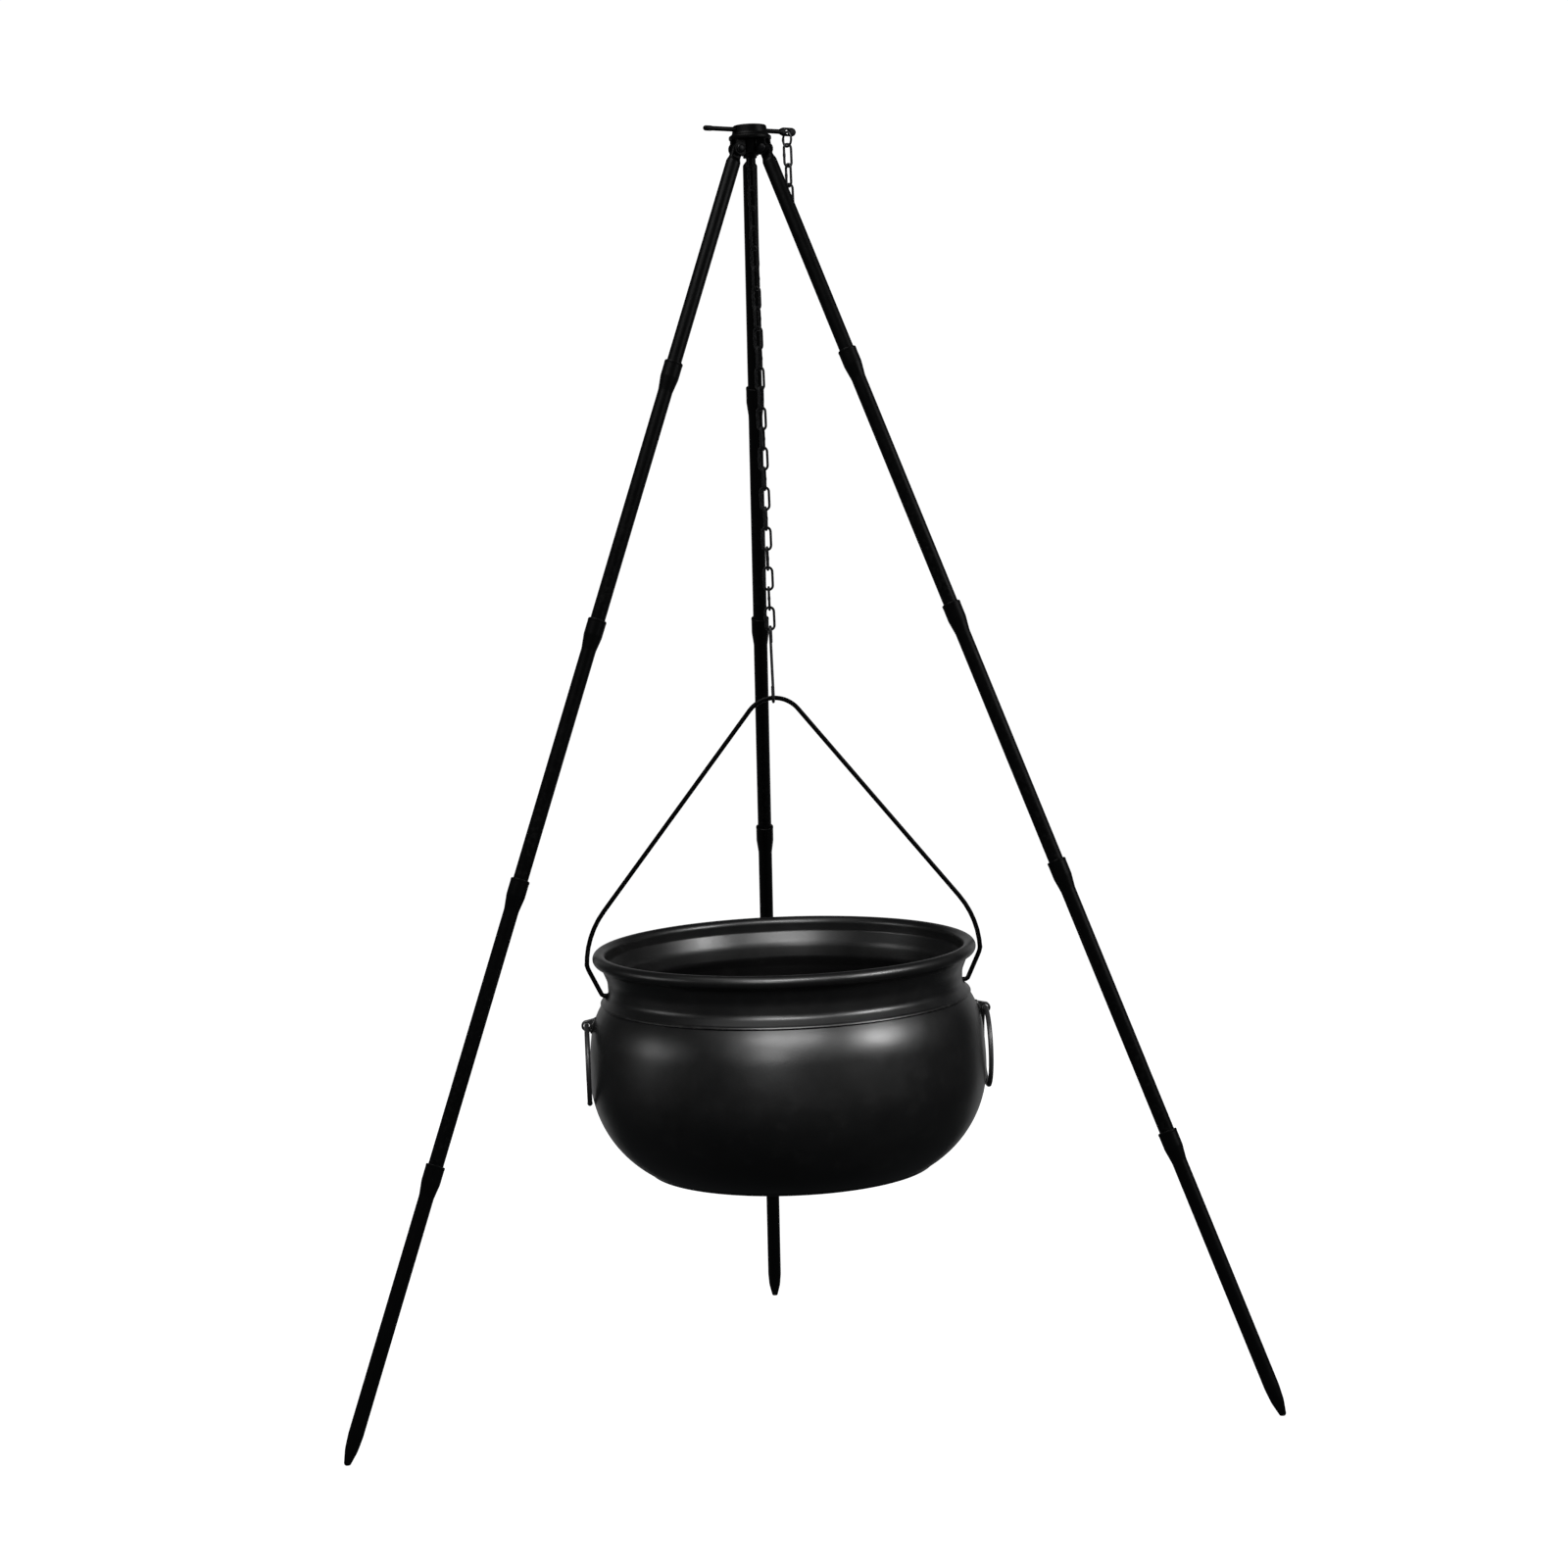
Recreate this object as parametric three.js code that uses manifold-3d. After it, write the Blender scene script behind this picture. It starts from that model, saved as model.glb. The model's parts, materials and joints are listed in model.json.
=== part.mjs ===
// Campfire tripod with a cauldron: three sectional legs, a hub, a locking pin,
// a chain with an S-hook, a wire bail and a pot with two drop rings.
// Units are millimetres, +Z is up. The ground is z = 0 and the origin is the
// middle of the feet's bounding box.

import * as THREE from 'three';
import { mergeVertices } from 'three/addons/utils/BufferGeometryUtils.js';
import Module from 'manifold-3d';

const wasm = await Module();
wasm.setup();

// ---- driving dimensions -------------------------------------------------

const GAP = 0.3; // clearance left between touching pieces

// Tripod
const PIVOT_HEIGHT = 1050; // leg hinge pins above the ground
const PIVOT_RADIUS = 13.3; // hinge pins from the hub's axis
const FOOT_RADIUS = 430; // centre of each foot from the hub's axis
const LEG_AZIMUTH = { left: 210, right: 330, rear: 90 };

// Leg tubes
const TUBE_R = 6.2;
const TUBE_BORE_R = 4.9;
const BELL_R = 7.8; // swaged socket, outside
const BELL_BORE_R = TUBE_R + GAP;
const BELL_LENGTH = 28;
const SOCKET_DEPTH = 20; // how far a plain end goes into its socket
// Socket middles, down each leg from its pin: the sections aren't all pushed in alike.
const SOCKET_AT = {
  left: [207, 435, 659, 899],
  right: [201, 433, 663, 900],
  rear: [222, 437, 642, 900],
};
const SECTION_COUNT = 5;
const TONGUE_THICK = 5.6;
const TONGUE_R = 5;
const TONGUE_LENGTH = 9.5; // pin to where the tube begins
const FOOT_TAPER = 22;
const FOOT_TIP_R = 3;
const FOOT_FLAT_DEPTH = 0.8; // worn off the rounded tip where it stands

// Hub
const HUB_R = 18;
const HUB_BORE_R = 6.8;
const HUB_PLATE = { bottom: 1058, top: 1061.3 };
const SLEEVE_R = 14;
const SLEEVE_TOP = 1070.3;
const LUG_THICK = 2.6;
const LUG_INNER_R = 8.6; // where the lugs begin, from the hub's axis
const LUG_ROUND_R = 5.6; // round end about the hinge pin
const LUG_OFFSET = TONGUE_THICK / 2 + GAP + 0.05; // inner face from the leg's plane

// Hinge rivets
const RIVET_R = 2;
const RIVET_HEAD_R = 3.7;
const RIVET_HEAD_THICK = 1.8;

// Locking pin through the sleeve and the chain's top link
const PIN_AZIMUTH = 30;
const PIN_HEIGHT = 1066.5;
const PIN_R = 2;
const PIN_NOSE_R = 2.3;
const PIN_HALF = 46;
const PADDLE = { length: 17, height: 7.4, thick: 3.6, holeR: 1.9, holeAt: 37.5 };

// Chain
const LINK_COUNT = 25;
const LINK_WIRE_R = 1.1;
const LINK_SPAN = 19.4; // between the middles of a link's two end wires
const LINK_BEND_R = 3.6; // wire middle, about each end's centre
const LINK_PITCH = LINK_SPAN - 2 * LINK_WIRE_R - GAP;
const LOWEST_LINK_AZIMUTH = 90; // its flat faces the front

// Keeper chain on the locking pin's eye
const KEEPER_RING_R = 6.2;
const KEEPER_RING_WIRE_R = 1;
const TAIL_COUNT = 3;

// S-hook
const HOOK_WIRE_R = 1.25;
const HOOK_EYE_WIDTH = 11;
const HOOK_BEND_R = 4.9;
const HOOK_TIP = 13;

// Bail
const BAIL_WIRE_R = 2;
const BAIL_APEX_HEIGHT = 587.5; // wire middle at the top
const BAIL_APEX_R = 26.4;
const BAIL_HALF_WIDTH = 167.6;
const BAIL_SLOPE = 38.4; // sides, from the vertical
const BAIL_SHOULDER_R = 75;
const BAIL_RIM_BEND = { height: 366, r: 16 }; // turns in under the rim
const BAIL_EAR_BEND = { x: 155.5, r: 2.5 }; // turns level into the ear hole
const BAIL_END_X = 144; // the ends turn down inside the pot
const BAIL_END_DROP = 11;

// Pot
const EAR_HEIGHT = 341; // bail holes
const POT_TILT = 3.8; // the front hangs a little low
const POT_WALL = 2.6;
const RIM = { r: 157.5, height: 375, bead: 5.3 };
const RIDGE = { r: 157.8, low: 333, high: 335.2 };
const SHOULDER = { r: 165.8, height: 322.5, soften: 5 }; // top of the belly
// Neck from the ridge up to the rim, outside and then inside on the way down
const NECK_OUTSIDE = [
  [156.9, 336.2], [153.2, 341.4], [150.8, 346.6],
  [150.4, 351], [151.6, 357], [153.6, 362], [156.6, 367.8],
];
const NECK_INSIDE = [
  [152.6, 369.5], [151.2, 363.2], [149, 357.4], [147.8, 351],
  [148.2, 346], [150.9, 340], [154.4, 335], [155.2, 331.9],
];
const BELLY = { r: 168.8, height: 271, lowerArc: 94, upperArc: 426 };
const POT_BOTTOM = 187.5;
const EAR_HOLE_R = 2.5;

// Drop rings and the lugs that hold them
const RING_R = 33;
const RING_WIRE_R = 2.1;
const RING_PIVOT = { x: 170, height: 316 };
const RING_LUG = { thick: 5, outerR: 4.5, holeR: 2.6 };

const LEG_SIDES = 12;
const POT_SIDES = 36;

// ---- helpers ------------------------------------------------------------

const rad = THREE.MathUtils.degToRad;
const v2 = (x, y) => new THREE.Vector2(x, y);
const v3 = (x, y, z) => new THREE.Vector3(x, y, z);

function finish(color, roughness, metalness) {
  return () => new THREE.MeshStandardMaterial({ color, roughness, metalness });
}

const blackPaint = finish(0x17171a, 0.45, 0.3);
const potBlack = finish(0x121214, 0.35, 0.4);
const darkSteel = finish(0x4a4b4d, 0.4, 0.9);

function addPiece(parent, name, geometry, material) {
  const mesh = new THREE.Mesh(geometry, material());
  mesh.name = name;
  parent.add(mesh);
  return mesh;
}

function addGroup(parent, position, rotation = [0, 0, 0]) {
  const group = new THREE.Group();
  group.position.copy(position);
  group.rotation.set(...rotation);
  parent.add(group);
  return group;
}

// Closed solids for joining and cutting
function toSolid(geometry) {
  const plain = geometry.clone();
  plain.deleteAttribute('normal');
  plain.deleteAttribute('uv');
  const merged = mergeVertices(plain, 1e-4);
  return new wasm.Manifold(
    new wasm.Mesh({
      numProp: 3,
      vertProperties: new Float32Array(merged.attributes.position.array),
      triVerts: new Uint32Array(merged.index.array),
    }),
  );
}

function fromSolid(solid) {
  const mesh = solid.getMesh();
  const geometry = new THREE.BufferGeometry();
  geometry.setAttribute('position', new THREE.BufferAttribute(mesh.vertProperties, 3));
  geometry.setIndex(new THREE.BufferAttribute(mesh.triVerts, 1));
  geometry.computeVertexNormals();
  return geometry;
}

function join(geometries) {
  return geometries.map(toSolid).reduce((sum, solid) => sum.add(solid));
}

// A turned shape about +Z from [radius, height] points
function turned(points, sides) {
  const lathe = new THREE.LatheGeometry(points.map(([r, h]) => v2(r, h)), sides);
  return lathe.rotateX(Math.PI / 2);
}

function arcPoints(cx, cz, radius, fromDeg, toDeg, count) {
  return Array.from({ length: count + 1 }, (_, i) => {
    const angle = rad(fromDeg + ((toDeg - fromDeg) * i) / count);
    return [cx + radius * Math.cos(angle), cz + radius * Math.sin(angle)];
  });
}

function cylinder(radius, length, sides = 12) {
  return new THREE.CylinderGeometry(radius, radius, length, sides);
}

// A plate lying in the XZ plane, centred on y = 0
function plateXZ(shape, thick, curveSegments = 6) {
  const options = { depth: thick, bevelEnabled: false, curveSegments };
  const plate = new THREE.ExtrudeGeometry(shape, options);
  return plate.translate(0, 0, -thick / 2).rotateX(Math.PI / 2);
}

// A path that is followed exactly from point to point
class WirePath extends THREE.Curve {
  constructor(points) {
    super();
    this.points = points;
  }

  indexAt(u) {
    return Math.round(u * (this.points.length - 1));
  }

  getPointAt(u, target = new THREE.Vector3()) {
    return target.copy(this.points[this.indexAt(u)]);
  }

  getTangentAt(u, target = new THREE.Vector3()) {
    const i = this.indexAt(u);
    const next = this.points[Math.min(i + 1, this.points.length - 1)];
    const previous = this.points[Math.max(i - 1, 0)];
    return target.subVectors(next, previous).normalize();
  }
}

// Points along straight runs joined by round bends: corners are [point, bend radius]
function bentPath(corners, stepDeg = 15) {
  const points = [corners[0][0]];
  for (let i = 1; i < corners.length - 1; i += 1) {
    const [corner, radius] = corners[i];
    const back = corners[i - 1][0].clone().sub(corner).normalize();
    const ahead = corners[i + 1][0].clone().sub(corner).normalize();
    const half = back.angleTo(ahead) / 2;
    const middle = back.clone().add(ahead).normalize();
    const centre = corner.clone().addScaledVector(middle, radius / Math.sin(half));
    const start = corner.clone().addScaledVector(back, radius / Math.tan(half)).sub(centre);
    const turn = Math.PI - 2 * half;
    const axis = ahead.clone().cross(back).normalize();
    const steps = Math.max(2, Math.round(turn / rad(stepDeg)));
    for (let k = 0; k <= steps; k += 1) {
      points.push(start.clone().applyAxisAngle(axis, (turn * k) / steps).add(centre));
    }
  }
  points.push(corners.at(-1)[0]);
  return points;
}

function wire(points, radius, sides = 8) {
  const section = new THREE.Shape();
  section.absarc(0, 0, radius, 0, Math.PI * 2);
  const extrudePath = new WirePath(points);
  const steps = points.length - 1;
  const curveSegments = sides / 2;
  return new THREE.ExtrudeGeometry(section, { steps, extrudePath, curveSegments });
}

// An oval link: a torus cut at its waist and pulled apart, standing upright
function linkGeometry() {
  const turns = 12;
  const link = new THREE.TorusGeometry(LINK_BEND_R, LINK_WIRE_R, 6, turns);
  link.rotateZ(Math.PI / turns);
  const position = link.attributes.position;
  const pull = LINK_SPAN / 2 - LINK_BEND_R;
  for (let i = 0; i < position.count; i += 1) {
    position.setY(i, position.getY(i) + Math.sign(position.getY(i)) * pull);
  }
  return link.rotateX(Math.PI / 2);
}

// ---- legs ---------------------------------------------------------------

const TIP_CENTRE_HEIGHT = FOOT_TIP_R - FOOT_FLAT_DEPTH;
const LEG_REACH = FOOT_RADIUS - PIVOT_RADIUS;
const LEG_DROP = PIVOT_HEIGHT - TIP_CENTRE_HEIGHT;
const LEG_LENGTH = Math.hypot(LEG_REACH, LEG_DROP); // pin to the tip's centre
const LEG_SPREAD = Math.atan2(LEG_REACH, LEG_DROP);

// Distances down the leg are negative heights in the leg's own frame.
const mouthAt = (side, joint) => -(SOCKET_AT[side][joint] - BELL_LENGTH / 2);
const plainEndAt = (side, joint) => mouthAt(side, joint) - SOCKET_DEPTH + GAP;

// Outside of a swaged socket, from below its taper up to its mouth, and down its bore
function socketProfile(mouth) {
  return [
    [TUBE_R, mouth - BELL_LENGTH],
    [BELL_R - 0.4, mouth - BELL_LENGTH * 0.62],
    [BELL_R, mouth - BELL_LENGTH * 0.4],
    [BELL_R, mouth - 1],
    [BELL_R - 0.5, mouth],
    [BELL_BORE_R, mouth],
    [BELL_BORE_R, mouth - SOCKET_DEPTH],
    [TUBE_BORE_R, mouth - SOCKET_DEPTH - 2],
  ];
}

function topSection(side) {
  const end = plainEndAt(side, 0);
  const tube = turned([
    [0, -TONGUE_LENGTH - 10],
    [TUBE_BORE_R, -TONGUE_LENGTH - 10],
    [TUBE_BORE_R, end],
    [TUBE_R, end],
    [TUBE_R, -TONGUE_LENGTH - 3.5],
    [TUBE_R - 1.2, -TONGUE_LENGTH],
    [2.6, -TONGUE_LENGTH + 1],
    [0, -TONGUE_LENGTH + 1],
  ], LEG_SIDES);
  const outline = new THREE.Shape();
  outline.absarc(0, 0, TONGUE_R, 0, Math.PI);
  outline.lineTo(-TONGUE_R, -TONGUE_LENGTH);
  outline.lineTo(TONGUE_R, -TONGUE_LENGTH);
  const tongue = plateXZ(outline, TONGUE_THICK);
  const hole = cylinder(RIVET_R + GAP, 2 * TONGUE_THICK);
  return fromSolid(join([tube, tongue]).subtract(toSolid(hole)));
}

function middleSection(side, joint) {
  const mouth = mouthAt(side, joint);
  const end = plainEndAt(side, joint + 1);
  const socket = socketProfile(mouth);
  return turned([[TUBE_BORE_R, end], [TUBE_R, end], ...socket, [TUBE_BORE_R, end]], LEG_SIDES);
}

function footSection(side, ground) {
  const joint = SECTION_COUNT - 2;
  const section = turned([
    ...arcPoints(0, -LEG_LENGTH, FOOT_TIP_R, -90, 0, 3),
    [TUBE_R - 0.3, -LEG_LENGTH + FOOT_TAPER * 0.8],
    [TUBE_R, -LEG_LENGTH + FOOT_TAPER],
    ...socketProfile(mouthAt(side, joint)),
    [TUBE_BORE_R, -LEG_LENGTH + FOOT_TAPER + 6],
    [0, -LEG_LENGTH + FOOT_TAPER + 6],
  ], LEG_SIDES);
  return fromSolid(toSolid(section).subtract(toSolid(ground)));
}

function addLeg(tripod, side) {
  const turnedOut = addGroup(tripod, v3(0, 0, PIVOT_HEIGHT), [0, 0, rad(LEG_AZIMUTH[side])]);
  const leg = addGroup(turnedOut, v3(PIVOT_RADIUS, 0, 0), [0, -LEG_SPREAD, 0]);
  leg.updateWorldMatrix(true, false);
  const groundDepth = 20;
  const ground = new THREE.BoxGeometry(60, 60, groundDepth);
  const footCentre = v3(FOOT_RADIUS, 0, -groundDepth / 2);
  footCentre.applyAxisAngle(v3(0, 0, 1), rad(LEG_AZIMUTH[side]));
  ground.rotateZ(rad(LEG_AZIMUTH[side])).translate(footCentre.x, footCentre.y, footCentre.z);
  ground.applyMatrix4(leg.matrixWorld.clone().invert());
  addPiece(leg, `leg_${side}_1_top`, topSection(side), blackPaint);
  for (let joint = 0; joint < SECTION_COUNT - 2; joint += 1) {
    addPiece(leg, `leg_${side}_${joint + 2}`, middleSection(side, joint), blackPaint);
  }
  addPiece(leg, `leg_${side}_${SECTION_COUNT}_foot`, footSection(side, ground), blackPaint);
}

// ---- hub, hinge rivets and locking pin ----------------------------------

function lugPair() {
  const outline = new THREE.Shape();
  const top = HUB_PLATE.bottom - PIVOT_HEIGHT + 1;
  const inner = LUG_INNER_R - PIVOT_RADIUS;
  outline.moveTo(inner, top);
  outline.lineTo(inner, -LUG_ROUND_R);
  outline.lineTo(0, -LUG_ROUND_R);
  outline.absarc(0, 0, LUG_ROUND_R, -Math.PI / 2, rad(50));
  outline.lineTo(LUG_ROUND_R * Math.cos(rad(50)) - 0.5, top);
  const offset = LUG_OFFSET + LUG_THICK / 2;
  return [-offset, offset].map((y) => (
    plateXZ(outline, LUG_THICK).translate(PIVOT_RADIUS, y, PIVOT_HEIGHT)
  ));
}

function hubGeometry() {
  const shell = turned([
    [HUB_BORE_R, HUB_PLATE.bottom],
    [HUB_R - 0.6, HUB_PLATE.bottom],
    [HUB_R, HUB_PLATE.bottom + 0.6],
    [HUB_R, HUB_PLATE.top - 0.8],
    [HUB_R - 0.8, HUB_PLATE.top],
    [SLEEVE_R + 1.4, HUB_PLATE.top + 1.4],
    [SLEEVE_R + 0.4, HUB_PLATE.top + 3.4],
    [SLEEVE_R, SLEEVE_TOP - 1],
    [SLEEVE_R - 1, SLEEVE_TOP],
    [HUB_BORE_R + 0.6, SLEEVE_TOP],
    [HUB_BORE_R, SLEEVE_TOP - 0.6],
    [HUB_BORE_R, HUB_PLATE.bottom],
  ], 24);
  let hub = toSolid(shell);
  for (const azimuth of Object.values(LEG_AZIMUTH)) {
    for (const lug of lugPair()) {
      hub = hub.add(toSolid(lug.rotateZ(rad(azimuth))));
    }
    const pinHole = cylinder(RIVET_R + GAP, 40);
    pinHole.translate(PIVOT_RADIUS, 0, PIVOT_HEIGHT).rotateZ(rad(azimuth));
    hub = hub.subtract(toSolid(pinHole));
  }
  const crossHole = cylinder(PIN_NOSE_R + GAP, 60).rotateZ(Math.PI / 2);
  crossHole.rotateZ(rad(PIN_AZIMUTH)).translate(0, 0, PIN_HEIGHT);
  return fromSolid(hub.subtract(toSolid(crossHole)));
}

function rivetGeometry() {
  const face = LUG_OFFSET + LUG_THICK + GAP;
  const crown = face + RIVET_HEAD_THICK;
  return turned([
    [0, -crown],
    [RIVET_HEAD_R * 0.6, -crown + 0.3],
    [RIVET_HEAD_R, -face - 0.4],
    [RIVET_HEAD_R, -face],
    [RIVET_R, -face],
    [RIVET_R, face],
    [RIVET_HEAD_R, face],
    [RIVET_HEAD_R, face + 0.4],
    [RIVET_HEAD_R * 0.6, crown - 0.3],
    [0, crown],
  ], 12).rotateX(Math.PI / 2);
}

function addHub(tripod) {
  addPiece(tripod, 'hub', hubGeometry(), blackPaint);
  for (const [side, azimuth] of Object.entries(LEG_AZIMUTH)) {
    const arm = addGroup(tripod, v3(0, 0, PIVOT_HEIGHT), [0, 0, rad(azimuth)]);
    const rivet = addPiece(arm, `hinge_rivet_${side}`, rivetGeometry(), darkSteel);
    rivet.position.x = PIVOT_RADIUS;
  }
}

// The pin lies along its own +X, with a round nose at one end and a flat eye at the other.
function lockingPinGeometry() {
  const neck = PIN_HALF - 7;
  const shaft = turned([
    ...arcPoints(0, -PIN_HALF + PIN_NOSE_R, PIN_NOSE_R, -90, 0, 3),
    [PIN_NOSE_R, -neck],
    [PIN_R, -neck + 1.5],
    [PIN_R, PIN_HALF - PADDLE.length + 2],
    [0, PIN_HALF - PADDLE.length + 2],
  ], 12).rotateY(Math.PI / 2);
  const r = PADDLE.height / 2;
  const paddle = new THREE.Shape();
  paddle.absarc(PIN_HALF - r, 0, r, -Math.PI / 2, Math.PI / 2);
  paddle.lineTo(PIN_HALF - PADDLE.length + r, r);
  paddle.absarc(PIN_HALF - PADDLE.length + r, 0, r, Math.PI / 2, 1.5 * Math.PI);
  const hole = cylinder(PADDLE.holeR, 20, 12).translate(PADDLE.holeAt, 0, 0);
  return fromSolid(join([shaft, plateXZ(paddle, PADDLE.thick, 6)]).subtract(toSolid(hole)));
}

function addLockingPin(tripod) {
  const pin = addGroup(tripod, v3(0, 0, PIN_HEIGHT), [0, 0, rad(PIN_AZIMUTH)]);
  addPiece(pin, 'locking_pin', lockingPinGeometry(), blackPaint);
  const ring = new THREE.TorusGeometry(KEEPER_RING_R, KEEPER_RING_WIRE_R, 6, 14);
  ring.rotateY(Math.PI / 2).translate(PADDLE.holeAt, 0, -KEEPER_RING_R);
  addPiece(pin, 'keeper_ring', ring, darkSteel);
  let top = -2 * KEEPER_RING_R + KEEPER_RING_WIRE_R + LINK_WIRE_R + GAP;
  for (let i = 0; i < TAIL_COUNT; i += 1) {
    const link = linkGeometry();
    link.rotateZ((i * Math.PI) / 2).translate(PADDLE.holeAt, 0, top - LINK_SPAN / 2);
    addPiece(pin, `keeper_link_${i + 1}`, link, darkSteel);
    top -= LINK_PITCH;
  }
}

// ---- chain and S-hook ---------------------------------------------------

const TOP_LINK_HEIGHT = PIN_HEIGHT + PIN_R + 0.4 + LINK_WIRE_R - LINK_SPAN / 2;
const LOWEST_WIRE = TOP_LINK_HEIGHT - (LINK_COUNT - 1) * LINK_PITCH - LINK_SPAN / 2;

// Each link stands a quarter turn on from the last, and the whole chain carries a slight twist.
function addChain(tripod) {
  const steps = LINK_COUNT - 1;
  const twist = (PIN_AZIMUTH - LOWEST_LINK_AZIMUTH) / steps;
  for (let i = 0; i < LINK_COUNT; i += 1) {
    const azimuth = LOWEST_LINK_AZIMUTH + (steps - i) * (90 + twist);
    const link = linkGeometry().rotateZ(rad(azimuth - 90));
    const name = `chain_link_${String(i + 1).padStart(2, '0')}`;
    const mesh = addPiece(tripod, name, link, darkSteel);
    mesh.position.z = TOP_LINK_HEIGHT - i * LINK_PITCH;
  }
}

function addHook(tripod) {
  const top = LOWEST_WIRE + LINK_WIRE_R + HOOK_WIRE_R + GAP;
  const bottom = BAIL_APEX_HEIGHT - BAIL_WIRE_R - HOOK_WIRE_R - GAP;
  const side = HOOK_EYE_WIDTH / 2;
  const path = bentPath([
    [v3(0, -side, top - HOOK_TIP), 0],
    [v3(0, -side, top), HOOK_BEND_R],
    [v3(0, side, top), HOOK_BEND_R],
    [v3(0, -side, bottom), HOOK_BEND_R],
    [v3(0, side, bottom), HOOK_BEND_R],
    [v3(0, side, bottom + HOOK_TIP), 0],
  ]);
  addPiece(tripod, 's_hook', wire(path, HOOK_WIRE_R), darkSteel);
}

// ---- bail, pot and drop rings -------------------------------------------

function bailPath() {
  const slope = Math.tan(rad(BAIL_SLOPE));
  const bow = BAIL_APEX_R * (1 / Math.sin(rad(BAIL_SLOPE)) - 1);
  const peak = BAIL_APEX_HEIGHT + bow;
  const shoulder = peak - BAIL_HALF_WIDTH / slope;
  const half = (s) => [
    [v3(s * BAIL_END_X, 0, EAR_HEIGHT - BAIL_END_DROP), 0],
    [v3(s * BAIL_END_X, 0, EAR_HEIGHT), 3],
    [v3(s * BAIL_EAR_BEND.x, 0, EAR_HEIGHT), BAIL_EAR_BEND.r],
    [v3(s * BAIL_HALF_WIDTH, 0, BAIL_RIM_BEND.height), BAIL_RIM_BEND.r],
    [v3(s * BAIL_HALF_WIDTH, 0, shoulder), BAIL_SHOULDER_R],
  ];
  const corners = [...half(-1), [v3(0, 0, peak), BAIL_APEX_R], ...half(1).reverse()];
  return bentPath(corners, 12);
}

function potProfile() {
  const { r: bellyR, height: bellyHeight, lowerArc, upperArc } = BELLY;
  const deg = THREE.MathUtils.radToDeg;
  const lowerEnd = deg(Math.asin((bellyHeight - POT_BOTTOM - 3) / lowerArc));
  const bellyTop = SHOULDER.height - SHOULDER.soften;
  const upperEnd = deg(Math.asin((bellyTop - bellyHeight) / upperArc));
  const belly = (inset) => [
    ...arcPoints(bellyR - lowerArc, bellyHeight, lowerArc - inset, -lowerEnd, 0, 5),
    ...arcPoints(bellyR - upperArc, bellyHeight, upperArc - inset, 0, upperEnd, 2).slice(1),
    [SHOULDER.r - 0.6 - inset * 0.95, SHOULDER.height - inset * 0.4],
    [SHOULDER.r - 3.2 - inset * 0.85, SHOULDER.height + SHOULDER.soften - inset * 0.55],
  ];
  const footR = bellyR - lowerArc + lowerArc * Math.cos(rad(lowerEnd)) - 3;
  const bead = arcPoints(RIM.r, RIM.height, RIM.bead, -70, 180, 6);
  return [
    [0, POT_BOTTOM],
    [footR, POT_BOTTOM],
    ...belly(0),
    [RIDGE.r + 0.5, RIDGE.low],
    [RIDGE.r + 0.5, RIDGE.high],
    ...NECK_OUTSIDE,
    ...bead,
    ...NECK_INSIDE,
    ...belly(POT_WALL).reverse(),
    [footR - 1, POT_BOTTOM + POT_WALL + 1],
    [0, POT_BOTTOM + POT_WALL + 1],
  ];
}

function potGeometry() {
  const shell = turned(potProfile(), POT_SIDES);
  const earHoles = cylinder(EAR_HOLE_R, 400, 12).rotateZ(Math.PI / 2).translate(0, 0, EAR_HEIGHT);
  const cut = toSolid(shell).subtract(toSolid(earHoles));
  return fromSolid(cut).translate(0, 0, -EAR_HEIGHT);
}

// A lug for one drop ring, its back cut to stand just off the belly
function ringLugGeometry() {
  const reach = RING_PIVOT.x - 150;
  const outline = new THREE.Shape();
  outline.absarc(0, 0, RING_LUG.outerR, -Math.PI / 2, Math.PI / 2);
  outline.lineTo(-reach, RING_LUG.outerR + 2);
  outline.lineTo(-reach, -RING_LUG.outerR - 2);
  const plate = plateXZ(outline, RING_LUG.thick).translate(RING_PIVOT.x, 0, RING_PIVOT.height);
  const hole = cylinder(RING_LUG.holeR, 20, 14).translate(RING_PIVOT.x, 0, RING_PIVOT.height);
  const { r, height, upperArc } = BELLY;
  const body = turned([
    [0, height - 40],
    ...arcPoints(r - upperArc, height, upperArc + GAP, -4, 8, 8),
    [0, height + 60],
  ], 80);
  const lug = toSolid(plate).subtract(toSolid(hole)).subtract(toSolid(body));
  return fromSolid(lug).translate(0, 0, -EAR_HEIGHT);
}

function addPot(tripod) {
  addPiece(tripod, 'bail', wire(bailPath(), BAIL_WIRE_R), blackPaint);
  const pot = addGroup(tripod, v3(0, 0, EAR_HEIGHT), [rad(POT_TILT), 0, 0]);
  addPiece(pot, 'pot', potGeometry(), potBlack);
  pot.updateWorldMatrix(true, false);
  for (const [side, turn] of [['right', 0], ['left', Math.PI]]) {
    addPiece(pot, `ring_lug_${side}`, ringLugGeometry().rotateZ(turn), potBlack);
    const pivot = v3(RING_PIVOT.x, 0, RING_PIVOT.height - EAR_HEIGHT);
    pivot.applyAxisAngle(v3(0, 0, 1), turn).applyMatrix4(pot.matrixWorld);
    const hung = addGroup(tripod, pivot);
    const ring = new THREE.TorusGeometry(RING_R, RING_WIRE_R, 8, 28);
    ring.rotateY(Math.PI / 2).translate(0, 0, -RING_R);
    addPiece(hung, `drop_ring_${side}`, ring, darkSteel);
  }
}

// ---- assembly -----------------------------------------------------------

const tripod = new THREE.Group();
addHub(tripod);
for (const side of Object.keys(LEG_AZIMUTH)) {
  addLeg(tripod, side);
}
addLockingPin(tripod);
addChain(tripod);
addHook(tripod);
addPot(tripod);

tripod.updateMatrixWorld(true);
const span = new THREE.Box3().setFromObject(tripod, true);
tripod.position.y = -(span.min.y + span.max.y) / 2;

export default tripod;
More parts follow.
